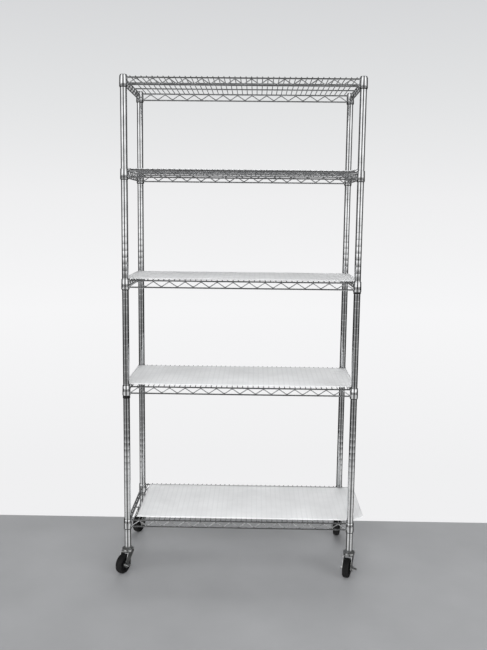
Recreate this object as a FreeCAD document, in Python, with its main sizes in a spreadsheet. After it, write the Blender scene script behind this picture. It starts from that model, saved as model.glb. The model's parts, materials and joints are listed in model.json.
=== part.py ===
"""Five-tier wire shelving rack on swivel casters.

Frame: +X to the right, +Y to the back, +Z up, millimetres.
The origin is on the floor, midway between the four posts.
"""
import FreeCAD, Part
import math
import os
import re

import Sketcher

os.makedirs("parts", exist_ok=True)
doc = FreeCAD.newDocument("WireShelvingRack")
Vector = FreeCAD.Vector
Rotation = FreeCAD.Rotation
UP = Vector(0, 0, 1)

# Driving dimensions: alias, value, meaning.
DIMENSIONS = [
    ("post_span_x", 868, "post axis to post axis, side to side"),
    ("post_span_y", 408, "post axis to post axis, front to back"),
    ("post_diameter", 25, "outside of the post tube"),
    ("post_wall", 1.2, "wall of the post tube"),
    ("section_length", 895, "length of one of the two tube sections of a post"),
    ("groove_pitch", 25.4, "distance between the locating grooves"),
    ("first_groove", 12.7, "bottom end of the post to the middle of the first groove"),
    ("groove_depth", 0.5, "depth of a rolled groove"),
    ("groove_width", 2.4, "width of a rolled groove at the surface"),
    ("level_2_groove", 56, "groove under the second shelf, counted from 0 at the bottom"),
    ("level_3_groove", 40, "groove under the third shelf"),
    ("level_4_groove", 24, "groove under the fourth shelf"),
    ("level_5_groove", 3, "groove under the bottom shelf"),
    ("rail_above_groove", 16.1, "groove to the middle of the shelf's top rail"),
    ("sleeve_clearance", 0.15, "sleeve to post"),
    ("sleeve_wall", 0.75, "sleeve at its thin top end"),
    ("sleeve_draft", 0.2, "how much wider the sleeve's bore is at its bottom than at its top"),
    ("taper_clearance", 0.1, "sleeve to collar, square to the axis"),
    ("collar_taper", 1.6, "how much wider the collar is at its bottom than at its top"),
    ("collar_wall", 1.2, "wall of the collar, square to the axis"),
    ("collar_rise", 5.5, "top of the collar above the middle of the top rail"),
    ("collar_drop", 4.35, "bottom of the collar below the bottom rail"),
    ("sleeve_skirt", 3, "sleeve showing below the collar"),
    ("sleeve_split", 1.5, "gap between the two half sleeves"),
    ("rail_diameter", 5.5, "top and bottom rail wire"),
    ("truss_height", 25.4, "middle of the top rail to the middle of the bottom rail"),
    ("zigzag_diameter", 3.8, "bent wire between the rails"),
    ("zigzag_pitch", 60, "wanted length of one wave of the bent wire"),
    ("zigzag_bend", 7, "bend radius of the bent wire, at its middle"),
    ("zigzag_set_down", 0.5, "how deep the bent wire is welded into the rails"),
    ("cross_diameter", 3.2, "cross wire of the deck"),
    ("cross_pitch", 20, "distance between cross wires"),
    ("stringer_diameter", 5, "long wire under the cross wires"),
    ("stringer_offset", 70, "stringer to the middle of the shelf"),
    ("weld_set_down", 0.5, "how deep a cross wire is welded into a stringer"),
    ("touch_depth", 0.05, "how deep wires of two welded pieces bed into each other"),
    ("liner_overhang", 11, "liner, measured flat, beyond the post axes at each side"),
    ("liner_gap", 1.5, "liner to the corner collars, front and back"),
    ("liner_thickness", 1.2, "liner sheet"),
    ("cap_thickness", 1.5, "flange of a post cap"),
    ("plug_length", 14, "plug of a post cap inside the tube"),
    ("inner_clearance", 0.3, "pieces inside the tube, to its wall"),
    ("stud_length", 56, "joining stud inside the two sections"),
    ("insert_length", 34, "threaded insert in the bottom of the post"),
    ("stem_diameter", 10, "threaded stem of a caster"),
    ("stem_length", 30, "stem above the swivel head"),
    ("stem_clearance", 0.15, "stem in the insert"),
    ("flange_height", 3, "height of the stem flange that the post stands on"),
    ("race_diameter", 46, "upper race cap of the swivel head"),
    ("race_height", 8, "height of the upper race cap"),
    ("race_shoulder", 2, "flat top of the race cap round the flange"),
    ("race_gap", 0.6, "upper race cap to the fork's crown, and crown to rivet"),
    ("crown_height", 7, "drawn cup of the fork's crown"),
    ("crown_diameter", 43, "drawn cup of the fork's crown"),
    ("crown_round", 2, "rounding of the drawn cup's top edge"),
    ("crown_setback", 5, "crown plate's back edge inside the drawn cup's"),
    ("king_diameter", 10, "king pin through the crown"),
    ("king_clearance", 0.3, "king pin to the crown"),
    ("rivet_diameter", 17, "head of the king pin under the crown"),
    ("rivet_height", 2, "height of that head"),
    ("sheet_thickness", 2.5, "steel sheet of the fork"),
    ("wheel_diameter", 75, "outside of the tyre"),
    ("wheel_headroom", 2.9, "top of the tyre to the crown plate"),
    ("wheel_width", 24, "tyre width"),
    ("tyre_section", 9, "tyre, from its outside to the wheel centre"),
    ("tyre_round", 6, "rounding of the tyre's shoulders"),
    ("tyre_proud", 1, "tyre beyond the wheel centre's rim at each side"),
    ("rim_thickness", 4, "rim of the wheel centre"),
    ("rim_slope", 1, "slope from the rim to the web, square to the axis"),
    ("boss_proud", 2.5, "boss of the wheel centre beyond the tyre at each side"),
    ("boss_diameter", 18, "boss of the wheel centre"),
    ("web_width", 12, "web of the wheel centre"),
    ("trail", 32, "swivel axis to wheel axis"),
    ("fork_gap", 1.0, "boss of the wheel centre to the fork's leg"),
    ("axle_diameter", 8, "axle bolt"),
    ("axle_clearance", 0.25, "axle bolt to the wheel centre and the pedal"),
    ("hole_clearance", 0.1, "axle bolt to the fork's legs"),
    ("leg_end_radius", 10, "rounded lower end of a fork leg"),
    ("nut_across_flats", 13, "axle bolt's head and nut"),
    ("nut_height", 5, "axle bolt's head and nut"),
    ("thread_proud", 2, "end of the axle bolt beyond its nut"),
    ("pedal_thickness", 2, "steel sheet of the brake pedal"),
    ("pedal_gap", 0.4, "pedal to the fork's leg and to the nut"),
    ("pedal_disc_radius", 13, "disc of the pedal round the axle"),
    ("pedal_arm_length", 8, "arm of the pedal beyond its disc"),
    ("pedal_arm_height", 9, "arm of the pedal, up and down"),
    ("pedal_arm_rise", 1, "underside of the arm above the middle of the axle"),
    ("pedal_reach", 21, "foot tab of the pedal beyond its disc's face"),
    ("pedal_width", 13, "width of the foot tab"),
    ("pedal_slope", 8, "slope of the foot tab, in degrees"),
]

sheet = doc.addObject("Spreadsheet::Sheet", "Sizes")
for row, (alias, value, meaning) in enumerate(DIMENSIONS, start=1):
    sheet.set(f"A{row}", alias)
    sheet.set(f"B{row}", str(value))
    sheet.set(f"C{row}", meaning)
    sheet.setAlias(f"B{row}", alias)
doc.recompute()
ALIAS_WORD = re.compile(r"\b(" + "|".join(alias for alias, _, _ in DIMENSIONS) + r")\b")


def sized(formula):
    """Turn a formula of bare aliases into one that FreeCAD reads from the sheet."""
    return ALIAS_WORD.sub(r"Sizes.\1", formula)


def size(alias):
    """The present value of one driving dimension, for shapes that code works out."""
    return float(sheet.get(alias))


def bind(obj, **formulas):
    """Bind properties to formulas; a double underscore stands for a dot in the name."""
    for name, formula in formulas.items():
        obj.setExpression(name.replace("__", "."), sized(formula))


def cylinder(name, radius, height, z="0", x="0", y="0"):
    obj = doc.addObject("Part::Cylinder", name)
    bind(obj, Radius=radius, Height=height)
    bind(obj, Placement__Base__x=x, Placement__Base__y=y, Placement__Base__z=z)
    return obj


def cone(name, bottom_radius, top_radius, height, z="0"):
    obj = doc.addObject("Part::Cone", name)
    bind(obj, Radius1=bottom_radius, Radius2=top_radius, Height=height)
    bind(obj, Placement__Base__z=z)
    return obj


def cut(name, base, tool):
    obj = doc.addObject("Part::Cut", name)
    obj.Base = base
    obj.Tool = tool
    return obj


def fuse(name, shapes):
    obj = doc.addObject("Part::MultiFuse", name)
    obj.Shapes = shapes
    return obj


def shape_feature(name, shape):
    obj = doc.addObject("Part::Feature", name)
    obj.Shape = shape
    return obj


def group(name, links, x="0", y="0", z="0", angle=0):
    """One or more objects gathered and placed as one, turned by angle about +Z."""
    obj = doc.addObject("Part::Compound", name)
    obj.Links = links
    obj.Placement = FreeCAD.Placement(Vector(0, 0, 0), Rotation(UP, angle))
    bind(obj, Placement__Base__x=x, Placement__Base__y=y, Placement__Base__z=z)
    return obj


sub_parts = []


def sub_part(node, links, **place):
    """A finished sub-part: its Label is the name of its node."""
    obj = group("Node_" + node, links, **place)
    obj.Label = node
    sub_parts.append(obj)
    return obj


def origin_plane(body, role):
    return next(item for item in body.Origin.OriginFeatures if item.Role == role)


def new_sketch(body, name, role):
    sketch = body.newObject("Sketcher::SketchObject", name)
    sketch.AttachmentSupport = [(origin_plane(body, role), "")]
    sketch.MapMode = "FlatFace"
    return sketch


def add_circle(sketch, diameter, x=None, y=None):
    """A circle with its centre at the sketch's origin, or at the formulas x and y."""
    circle = sketch.addGeometry(Part.Circle(Vector(1, 1, 0), UP, 1))
    if x is None:
        sketch.addConstraint(Sketcher.Constraint("Coincident", circle, 3, -1, 1))
    else:
        for kind, formula in (("DistanceX", x), ("DistanceY", y)):
            index = sketch.addConstraint(Sketcher.Constraint(kind, -1, 1, circle, 3, 1.0))
            sketch.setExpression(f"Constraints[{index}]", sized(formula))
    index = sketch.addConstraint(Sketcher.Constraint("Diameter", circle, 2.0))
    sketch.setExpression(f"Constraints[{index}]", sized(diameter))


def add_polygon(sketch, corners):
    """A closed outline; each corner is a pair of formulas for positive distances."""
    count = len(corners)
    turn = 2 * math.pi / count
    start = [Vector(3 + math.cos(turn * i), 3 + math.sin(turn * i), 0) for i in range(count)]
    lines = [
        sketch.addGeometry(Part.LineSegment(start[i], start[(i + 1) % count]))
        for i in range(count)
    ]
    for i, line in enumerate(lines):
        after = lines[(i + 1) % count]
        sketch.addConstraint(Sketcher.Constraint("Coincident", line, 2, after, 1))
    for line, corner in zip(lines, corners):
        for kind, formula in zip(("DistanceX", "DistanceY"), corner):
            index = sketch.addConstraint(Sketcher.Constraint(kind, -1, 1, line, 1, 3.0))
            sketch.setExpression(f"Constraints[{index}]", sized(formula))


# ---------------------------------------------------------------- sizes that follow from others

POST_RADIUS = "(post_diameter / 2)"
TUBE_BORE = f"({POST_RADIUS} - post_wall)"
RACE_DROP = "(flange_height + race_height)"
CROWN_DROP = f"({RACE_DROP} + race_gap + crown_height + sheet_thickness)"
CASTER_HEIGHT = f"(wheel_diameter + wheel_headroom + {CROWN_DROP})"
JOINT_HEIGHT = f"({CASTER_HEIGHT} + section_length)"
POST_TOP = f"({CASTER_HEIGHT} + 2 * section_length)"
UPPER_FIRST_GROOVE = (
    "(first_groove - section_length + groove_pitch"
    " * ceil((section_length + groove_width - first_groove) / groove_pitch))"
)
# The highest groove that keeps the top shelf's collars below the ends of the posts.
TOP_GROOVE = (
    "floor((2 * section_length - collar_rise - rail_above_groove - first_groove)"
    " / groove_pitch)"
)
SLEEVE_BORE = f"({POST_RADIUS} + sleeve_clearance)"
COLLAR_BORE_TOP = f"({SLEEVE_BORE} + sleeve_wall + taper_clearance)"
COLLAR_BORE_BOTTOM = f"({COLLAR_BORE_TOP} + collar_taper / 2)"
COLLAR_RADIUS = f"({COLLAR_BORE_BOTTOM} + collar_wall)"
COLLAR_BOTTOM = "(-truss_height - rail_diameter / 2 - collar_drop)"
COLLAR_HEIGHT = f"(collar_rise - {COLLAR_BOTTOM})"
DECK_TOP = "(rail_diameter / 2 + cross_diameter - touch_depth)"

# ---------------------------------------------------------------- posts

CORNERS = {
    "front_left": ("-post_span_x / 2", "-post_span_y / 2"),
    "front_right": ("post_span_x / 2", "-post_span_y / 2"),
    "back_left": ("-post_span_x / 2", "post_span_y / 2"),
    "back_right": ("post_span_x / 2", "post_span_y / 2"),
}


def post_section(name, first):
    """A tube with evenly pitched rolled grooves; first is the height of the lowest one's middle."""
    body = doc.addObject("PartDesign::Body", name)
    section = new_sketch(body, name + "_Section", "XY_Plane")
    add_circle(section, "post_diameter")
    add_circle(section, "post_diameter - 2 * post_wall")
    tube = body.newObject("PartDesign::Pad", name + "_Tube")
    tube.Profile = section
    bind(tube, Length="section_length")
    profile = new_sketch(body, name + "_GrooveProfile", "XZ_Plane")
    outside = f"{POST_RADIUS} + groove_depth"
    bottom = f"{POST_RADIUS} - groove_depth"
    add_polygon(profile, [
        (outside, f"{first} - groove_width / 2 - groove_depth"),
        (outside, f"{first} + groove_width / 2 + groove_depth"),
        (bottom, f"{first} + groove_width / 2 - groove_depth"),
        (bottom, f"{first} - groove_width / 2 + groove_depth"),
    ])
    groove = body.newObject("PartDesign::Groove", name + "_Groove")
    groove.Profile = profile
    groove.ReferenceAxis = (profile, ["V_Axis"])
    groove.Angle = 360
    pattern = body.newObject("PartDesign::LinearPattern", name + "_Grooves")
    pattern.Originals = [groove]
    pattern.Direction = (profile, ["V_Axis"])
    steps = f"floor((section_length - {first} - groove_width) / groove_pitch)"
    bind(pattern, Length=f"groove_pitch * {steps}", Occurrences=f"{steps} + 1")
    body.Tip = pattern
    return body


lower_section = post_section("LowerSection", "first_groove")
upper_section = post_section("UpperSection", UPPER_FIRST_GROOVE)
for corner, (x, y) in CORNERS.items():
    sub_part(f"post_{corner}_lower", [lower_section], x=x, y=y, z=CASTER_HEIGHT)
    sub_part(f"post_{corner}_upper", [upper_section], x=x, y=y, z=JOINT_HEIGHT)

# Joining stud: a round plug that both sections screw onto, hidden inside the tube.
stud = cylinder(
    "JoiningStud", f"{TUBE_BORE} - inner_clearance", "stud_length",
    z=f"{JOINT_HEIGHT} - stud_length / 2",
)
cap = fuse("PostCap", [
    cylinder("CapFlange", POST_RADIUS, "cap_thickness", z=POST_TOP),
    cylinder("CapPlug", f"{TUBE_BORE} - inner_clearance", "plug_length",
             z=f"{POST_TOP} - plug_length"),
])
insert = cut(
    "CasterInsert",
    cylinder("InsertBlank", f"{TUBE_BORE} - inner_clearance", "insert_length", z=CASTER_HEIGHT),
    cylinder("InsertThread", "stem_diameter / 2 + stem_clearance", "insert_length",
             z=CASTER_HEIGHT),
)


def at_each_corner(name, obj):
    """Copies of one object at the four posts."""
    return [
        group(f"{name}_{corner}", [obj], x=x, y=y) for corner, (x, y) in CORNERS.items()
    ]


sub_part("post_joining_studs", at_each_corner("Stud", stud))
sub_part("post_top_caps", at_each_corner("Cap", cap))
sub_part("post_caster_inserts", at_each_corner("Insert", insert))

# ---------------------------------------------------------------- shelves
# Every shelf is drawn with the middle of its top rails at z = 0, then placed at its level.

collar_blank = cone("CollarBlank", COLLAR_RADIUS, f"{COLLAR_BORE_TOP} + collar_wall",
                    COLLAR_HEIGHT, z=COLLAR_BOTTOM)
collar = cut(
    "Collar",
    collar_blank,
    cone("CollarBore", COLLAR_BORE_BOTTOM, COLLAR_BORE_TOP, COLLAR_HEIGHT, z=COLLAR_BOTTOM),
)

# Half sleeves: a tapered tube, wider at the bottom, split by a narrow gap into two halves.
# The bore has a slight draft, so only its top end sits close to the post.
SLEEVE_BOTTOM = f"({COLLAR_BOTTOM} - sleeve_skirt)"
SLEEVE_LENGTH = f"({COLLAR_HEIGHT} + sleeve_skirt)"
SKIRT_TAPER = f"(sleeve_skirt * collar_taper / 2 / {COLLAR_HEIGHT})"
sleeve_blank = cut(
    "SleeveBlank",
    cone("SleeveTaper", f"{COLLAR_BORE_BOTTOM} - taper_clearance + {SKIRT_TAPER}",
         f"{COLLAR_BORE_TOP} - taper_clearance", SLEEVE_LENGTH, z=SLEEVE_BOTTOM),
    cone("SleeveBore", f"{SLEEVE_BORE} + sleeve_draft / 2", SLEEVE_BORE, SLEEVE_LENGTH,
         z=SLEEVE_BOTTOM),
)
split = doc.addObject("Part::Box", "SleeveSplit")
bind(split, Length="sleeve_split", Width=f"2 * {COLLAR_RADIUS}", Height=SLEEVE_LENGTH)
bind(split, Placement__Base__x="-sleeve_split / 2", Placement__Base__y=f"-{COLLAR_RADIUS}",
     Placement__Base__z=SLEEVE_BOTTOM)
sleeve_pair = cut("SleevePair", sleeve_blank, split)
doc.recompute()
collar_radius = collar_blank.Radius1.Value


def wire_between(start, end, diameter):
    along = end - start
    return Part.makeCylinder(diameter / 2, along.Length, start, along)


def bent_wire(corners, diameter, bend):
    """A round wire that follows straight runs joined by tangent bends of one radius."""
    edges = []
    run_start = corners[0]
    for before, corner, after in zip(corners, corners[1:], corners[2:]):
        towards = (before - corner).normalize()
        away = (after - corner).normalize()
        half = towards.getAngle(away) / 2
        setback = bend / math.tan(half)
        middle = (towards + away).normalize() * (bend / math.sin(half) - bend)
        bend_start = corner + towards * setback
        bend_end = corner + away * setback
        edges.append(Part.LineSegment(run_start, bend_start).toShape())
        edges.append(Part.Arc(bend_start, corner + middle, bend_end).toShape())
        run_start = bend_end
    edges.append(Part.LineSegment(run_start, corners[-1]).toShape())
    direction = corners[1] - corners[0]
    section = Part.Wire([Part.makeCircle(diameter / 2, corners[0], direction)])
    return Part.Wire(edges).makePipeShell([section], True, False)


def truss(span):
    """Top rail, bottom rail and bent wire between two posts that stand span apart along X."""
    half = span / 2
    rail = size("rail_diameter")
    contact = (rail + size("zigzag_diameter")) / 2 - size("zigzag_set_down")
    low = -size("truss_height") + contact
    high = -contact
    clear = span - 2 * collar_radius
    waves = round(clear / size("zigzag_pitch"))
    step = clear / (2 * waves)
    # The outline's corners stand past the bends, by what a bend cuts off.
    half_corner = math.atan2(step, high - low)
    for _ in range(20):
        cut_off = size("zigzag_bend") * (1 / math.sin(half_corner) - 1)
        half_corner = math.atan2(step, high - low + 2 * cut_off)
    first = -clear / 2
    corners = [
        Vector(first + step * i, 0, (low - cut_off) if i % 2 == 0 else (high + cut_off))
        for i in range(2 * waves + 1)
    ]
    # The bent wire is carried into the collars' space at both ends and trimmed there.
    lead = (corners[1] - corners[0]).normalize() * collar_radius
    corners.insert(0, corners[0] + Vector(-lead.x, 0, lead.z))
    corners.append(corners[-1] + lead)
    bars = [
        wire_between(Vector(-half, 0, z), Vector(half, 0, z), rail)
        for z in (0, -size("truss_height"))
    ]
    zigzag = bent_wire(corners, size("zigzag_diameter"), size("zigzag_bend"))
    welded = bars[0].fuse([bars[1], zigzag])
    return welded.cut([collar_blank.Shape.translated(Vector(x, 0, 0)) for x in (-half, half)])


long_truss = shape_feature("LongTruss", truss(size("post_span_x")))
short_truss = shape_feature("ShortTruss", truss(size("post_span_y")))
trusses = [
    group("FrontTruss", [long_truss], y="-post_span_y / 2"),
    group("BackTruss", [long_truss], y="post_span_y / 2", angle=180),
    group("LeftTruss", [short_truss], x="-post_span_x / 2", angle=90),
    group("RightTruss", [short_truss], x="post_span_x / 2", angle=-90),
]


def deck():
    """Cross wires along Y, pitched along X, welded onto two stringers."""
    body = doc.addObject("PartDesign::Body", "Deck")
    body.AllowCompound = True
    cross_height = "((rail_diameter + cross_diameter) / 2 - touch_depth)"
    stringer_drop = "((cross_diameter + stringer_diameter) / 2 - weld_set_down)"
    half_length = "(post_span_x - rail_diameter) / 2 + touch_depth"
    stringers = []
    for side, sign in (("Front", -1), ("Back", 1)):
        rod = doc.addObject("Part::Cylinder", f"{side}Stringer")
        bind(rod, Radius="stringer_diameter / 2", Height=f"2 * ({half_length})")
        rod.Placement = FreeCAD.Placement(Vector(0, 0, 0), Rotation(Vector(0, 1, 0), 90))
        bind(rod, Placement__Base__x=f"-({half_length})",
             Placement__Base__y=f"{sign} * stringer_offset",
             Placement__Base__z=f"{cross_height} - {stringer_drop}")
        stringers.append(rod)
    sketch = new_sketch(body, "CrossWireSection", "XZ_Plane")
    add_circle(sketch, "cross_diameter", x="cross_pitch / 2", y=cross_height)
    wire = body.newObject("PartDesign::Pad", "CrossWire")
    wire.Profile = sketch
    wire.Midplane = True
    bind(wire, Length="post_span_y + rail_diameter")
    pattern = body.newObject("PartDesign::LinearPattern", "CrossWires")
    pattern.Originals = [wire]
    pattern.Direction = (sketch, ["H_Axis"])
    count = "(floor(post_span_x / cross_pitch) - 1)"
    bind(pattern, Length=f"cross_pitch * ({count} - 1)", Occurrences=count)
    body.Tip = pattern
    centred = group("CentredCrossWires", [body], x=f"-cross_pitch * {count} / 2")
    return fuse("WeldedDeck", stringers + [centred])


welded_deck = deck()


def level_height(level):
    """Height of the middle of the top rails of one shelf above the floor."""
    groove = TOP_GROOVE if level == 1 else f"level_{level}_groove"
    return f"({CASTER_HEIGHT} + first_groove + groove_pitch * {groove} + rail_above_groove)"


# A sleeve pair that was never driven home sits lower in its collar and shows more skirt.
LOW_SLEEVES = {(3, "front_right"): 4, (4, "front_left"): 9}

collars = at_each_corner("Collar", collar)
for level in range(1, 6):
    height = level_height(level)
    sub_part(f"shelf_{level}_corner_collars", collars, z=height)
    sub_part(f"shelf_{level}_trusses", trusses, z=height)
    sub_part(f"shelf_{level}_deck", [welded_deck], z=height)
    sleeves = [
        group(f"Sleeve_{level}_{corner}", [sleeve_pair], x=x, y=y,
              z=f"-{LOW_SLEEVES.get((level, corner), 0)}", angle=45)
        for corner, (x, y) in CORNERS.items()
    ]
    sub_part(f"shelf_{level}_sleeves", sleeves, z=height)

# ---------------------------------------------------------------- liners


def liner(left_curl, right_curl):
    """A thin sheet with its ends lifted: each curl is (length along the sheet, rise)."""
    half = size("post_span_x") / 2 + size("liner_overhang")
    depth = size("post_span_y") - 2 * (collar_radius + size("liner_gap"))
    thick = size("liner_thickness")

    def end(sign, curl):
        length, rise = curl
        flat = Vector(sign * (half - length), 0, 0)
        if rise == 0:
            return [Vector(sign * half, 0, 0)], None
        radius = (length ** 2 + rise ** 2) / (2 * rise)
        angle = 2 * math.atan2(rise, length)
        centre = flat + Vector(0, 0, radius)
        on_arc = [
            centre + Vector(sign * math.sin(a), 0, -math.cos(a)) * radius
            for a in (angle / 2, angle)
        ]
        return [flat] + on_arc, centre

    def outline(points, centre, inward):
        """The same end, moved square to the sheet by its thickness."""
        if centre is None:
            return [point + Vector(0, 0, inward) for point in points]
        return [
            centre + (point - centre).normalize() * ((point - centre).Length - inward)
            for point in points
        ]

    right, right_centre = end(1, right_curl)
    left, left_centre = end(-1, left_curl)
    lower = [left, right]
    upper = [outline(left, left_centre, thick), outline(right, right_centre, thick)]

    def edges_along(pair):
        """Left end, flat middle and right end, as edges from left to right."""
        first, last = pair
        parts = []
        if len(first) == 3:
            parts.append(Part.Arc(first[2], first[1], first[0]).toShape())
        parts.append(Part.LineSegment(first[0], last[0]).toShape())
        if len(last) == 3:
            parts.append(Part.Arc(last[0], last[1], last[2]).toShape())
        return parts

    edges = edges_along(lower) + edges_along(upper)
    edges.append(Part.LineSegment(lower[0][-1], upper[0][-1]).toShape())
    edges.append(Part.LineSegment(lower[1][-1], upper[1][-1]).toShape())
    face = Part.Face(Part.Wire(Part.__sortEdges__(edges)))
    sheet_solid = face.extrude(Vector(0, depth, 0))
    sheet_solid.translate(Vector(0, -depth / 2, 0))
    return sheet_solid


FLAT = (0, 0)
LINERS = {
    # level: left curl, right curl, x offset, turn about +Z in degrees
    2: ((44, 10), (66, 16), 0, 0),
    3: (FLAT, FLAT, 0, 0),
    4: (FLAT, FLAT, 0, 0),
    5: (FLAT, (90, 18), 44, -0.4),
}
for level, (left_curl, right_curl, shift, turn) in LINERS.items():
    sheet_shape = shape_feature(f"LinerShape{level}", liner(left_curl, right_curl))
    sub_part(f"shelf_{level}_liner", [sheet_shape], x=f"{shift}",
             z=f"{level_height(level)} + {DECK_TOP}", angle=turn)

# ---------------------------------------------------------------- casters
# A caster is drawn with its swivel axis on Z and its wheel towards -Y, then turned and placed.
# Its right-hand side is +X.

BOSS_HALF = size("wheel_width") / 2 + size("boss_proud")
LEG_INSIDE = BOSS_HALF + size("fork_gap")
LEG_OUTSIDE = LEG_INSIDE + size("sheet_thickness")
PEDAL_FACE = LEG_OUTSIDE + size("pedal_gap")
PEDAL_OUTSIDE = PEDAL_FACE + size("pedal_thickness")
AXLE_CENTRE = Vector(0, -size("trail"), size("wheel_diameter") / 2)
ACROSS = Vector(1, 0, 0)
CROWN_BOTTOM = size("wheel_diameter") + size("wheel_headroom")
PLATE_TOP = CROWN_BOTTOM + size("sheet_thickness")

RACE_BOTTOM = f"({CASTER_HEIGHT} - {RACE_DROP})"
RIVET_TOP = f"({CASTER_HEIGHT} - {CROWN_DROP} - race_gap)"
stem = fuse("CasterStem", [
    cylinder("Stem", "stem_diameter / 2", "stem_length", z=CASTER_HEIGHT),
    cylinder("StemFlange", POST_RADIUS, "flange_height", z=f"{CASTER_HEIGHT} - flange_height"),
    cone("RaceCap", "race_diameter / 2", f"{POST_RADIUS} + race_shoulder", "race_height",
         z=RACE_BOTTOM),
    cylinder("KingPin", "king_diameter / 2", f"{RACE_BOTTOM} - {RIVET_TOP}", z=RIVET_TOP),
    cylinder("KingRivet", "rivet_diameter / 2", "rivet_height",
             z=f"{RIVET_TOP} - rivet_height"),
])


def across_cylinder(radius, start, length):
    """A cylinder on the wheel's axis, from x = start."""
    return Part.makeCylinder(radius, length, AXLE_CENTRE + ACROSS * start, ACROSS)


def fork_leg(inside):
    """One leg of the fork: a tapered plate from the crown down to the round end at the axle."""
    end_radius = size("leg_end_radius")
    crown_radius = size("crown_diameter") / 2
    corners = [
        Vector(0, crown_radius - size("crown_setback"), PLATE_TOP),
        Vector(0, -crown_radius, PLATE_TOP),
    ]
    # Tangents from the two upper corners to the round lower end.
    tangents = []
    for corner, side in zip(corners, (1, -1)):
        away = corner - AXLE_CENTRE
        angle = math.atan2(away.z, away.y) - side * math.acos(end_radius / away.Length)
        tangents.append(
            AXLE_CENTRE + Vector(0, math.cos(angle), math.sin(angle)) * end_radius
        )
    lowest = AXLE_CENTRE - UP * end_radius
    outline = Part.Wire([
        Part.LineSegment(corners[0], corners[1]).toShape(),
        Part.LineSegment(corners[1], tangents[1]).toShape(),
        Part.Arc(tangents[1], lowest, tangents[0]).toShape(),
        Part.LineSegment(tangents[0], corners[0]).toShape(),
    ])
    plate = Part.Face(outline).extrude(ACROSS * size("sheet_thickness"))
    plate.translate(ACROSS * inside)
    return plate


def fork():
    """Stamped fork: a drawn cup and plate on top, and two legs, as one piece."""
    radius = size("crown_diameter") / 2
    cup_height = size("crown_height")
    cup = Part.makeCylinder(radius, cup_height, UP * PLATE_TOP)
    top_edge = [edge for edge in cup.Edges if edge.BoundBox.ZMin > PLATE_TOP + cup_height / 2]
    cup = cup.makeFillet(size("crown_round"), top_edge)
    plate = Part.makeBox(2 * LEG_OUTSIDE, 2 * radius - size("crown_setback"),
                         size("sheet_thickness"), Vector(-LEG_OUTSIDE, -radius, CROWN_BOTTOM))
    body = cup.fuse([plate, fork_leg(LEG_INSIDE), fork_leg(-LEG_OUTSIDE)])
    king = Part.makeCylinder(size("king_diameter") / 2 + size("king_clearance"),
                             size("sheet_thickness") + cup_height, UP * CROWN_BOTTOM)
    axle = across_cylinder(size("axle_diameter") / 2 + size("hole_clearance"), -LEG_OUTSIDE,
                           2 * LEG_OUTSIDE)
    return body.cut([king, axle]).removeSplitter()


def turned(profile):
    """Turn a closed outline of (radius, x) pairs round the wheel's axis."""
    points = [AXLE_CENTRE + Vector(x, 0, radius) for radius, x in profile]
    face = Part.Face(Part.makePolygon(points + points[:1]))
    return face.revolve(AXLE_CENTRE, ACROSS, 360)


def tyre():
    """A ring with round shoulders."""
    outer = size("wheel_diameter") / 2
    inner = outer - size("tyre_section")
    half = size("wheel_width") / 2
    ring = turned([(inner, -half), (outer, -half), (outer, half), (inner, half)])
    shoulders = [edge for edge in ring.Edges
                 if abs(edge.BoundBox.ZMax - (AXLE_CENTRE.z + outer)) < 1e-4
                 and edge.BoundBox.XLength < 1e-4]
    return ring.makeFillet(size("tyre_round"), shoulders)


def wheel_centre():
    """Rim, web and boss turned in one piece, bored for the axle."""
    rim = size("wheel_diameter") / 2 - size("tyre_section")
    rim_inside = rim - size("rim_thickness")
    rim_half = size("wheel_width") / 2 - size("tyre_proud")
    web = size("web_width") / 2
    boss = size("boss_diameter") / 2
    bore = size("axle_diameter") / 2 + size("axle_clearance")
    side = [(rim, rim_half), (rim_inside, rim_half), (rim_inside - size("rim_slope"), web),
            (boss, web), (boss, BOSS_HALF), (bore, BOSS_HALF)]
    return turned(side + [(radius, -x) for radius, x in reversed(side)])


def hexagon(start):
    """A hexagon of the nut's size on the wheel's axis, from x = start."""
    radius = size("nut_across_flats") / math.sqrt(3)
    points = [
        AXLE_CENTRE + Vector(start, radius * math.cos(a), radius * math.sin(a))
        for a in (math.radians(60 * i) for i in range(7))
    ]
    return Part.Face(Part.makePolygon(points)).extrude(ACROSS * size("nut_height"))


def axle_bolt(has_pedal):
    """Axle bolt with its head on the left and its nut on the right, outside the pedal."""
    right = PEDAL_OUTSIDE + size("pedal_gap") if has_pedal else LEG_OUTSIDE
    length = LEG_OUTSIDE + right + size("nut_height") + size("thread_proud")
    shank = across_cylinder(size("axle_diameter") / 2, -LEG_OUTSIDE, length)
    return shank.fuse([hexagon(-LEG_OUTSIDE - size("nut_height")), hexagon(right)])


def brake_pedal():
    """A disc round the axle with an arm, and a foot tab bent outwards at its end."""
    thick = size("pedal_thickness")
    height = size("pedal_arm_height")
    reach = size("pedal_disc_radius") + size("pedal_arm_length")
    disc = across_cylinder(size("pedal_disc_radius"), PEDAL_FACE, thick)
    arm_end = AXLE_CENTRE + Vector(PEDAL_FACE, -reach, size("pedal_arm_rise"))
    arm = Part.makeBox(thick, reach, height, arm_end)
    tab = Part.makeBox(size("pedal_reach") + thick, size("pedal_width"), thick,
                       arm_end + UP * (height - thick))
    tab.rotate(arm_end + UP * height, Vector(0, 1, 0), size("pedal_slope"))
    bore = across_cylinder(size("axle_diameter") / 2 + size("axle_clearance"), PEDAL_FACE, thick)
    return disc.fuse([arm, tab]).cut(bore).removeSplitter()


fork_shape = shape_feature("ForkShape", fork())
tyre_shape = shape_feature("TyreShape", tyre())
centre_shape = shape_feature("WheelCentreShape", wheel_centre())
plain_axle = shape_feature("PlainAxle", axle_bolt(False))
pedal_axle = shape_feature("PedalAxle", axle_bolt(True))
pedal_shape = shape_feature("PedalShape", brake_pedal())

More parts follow.
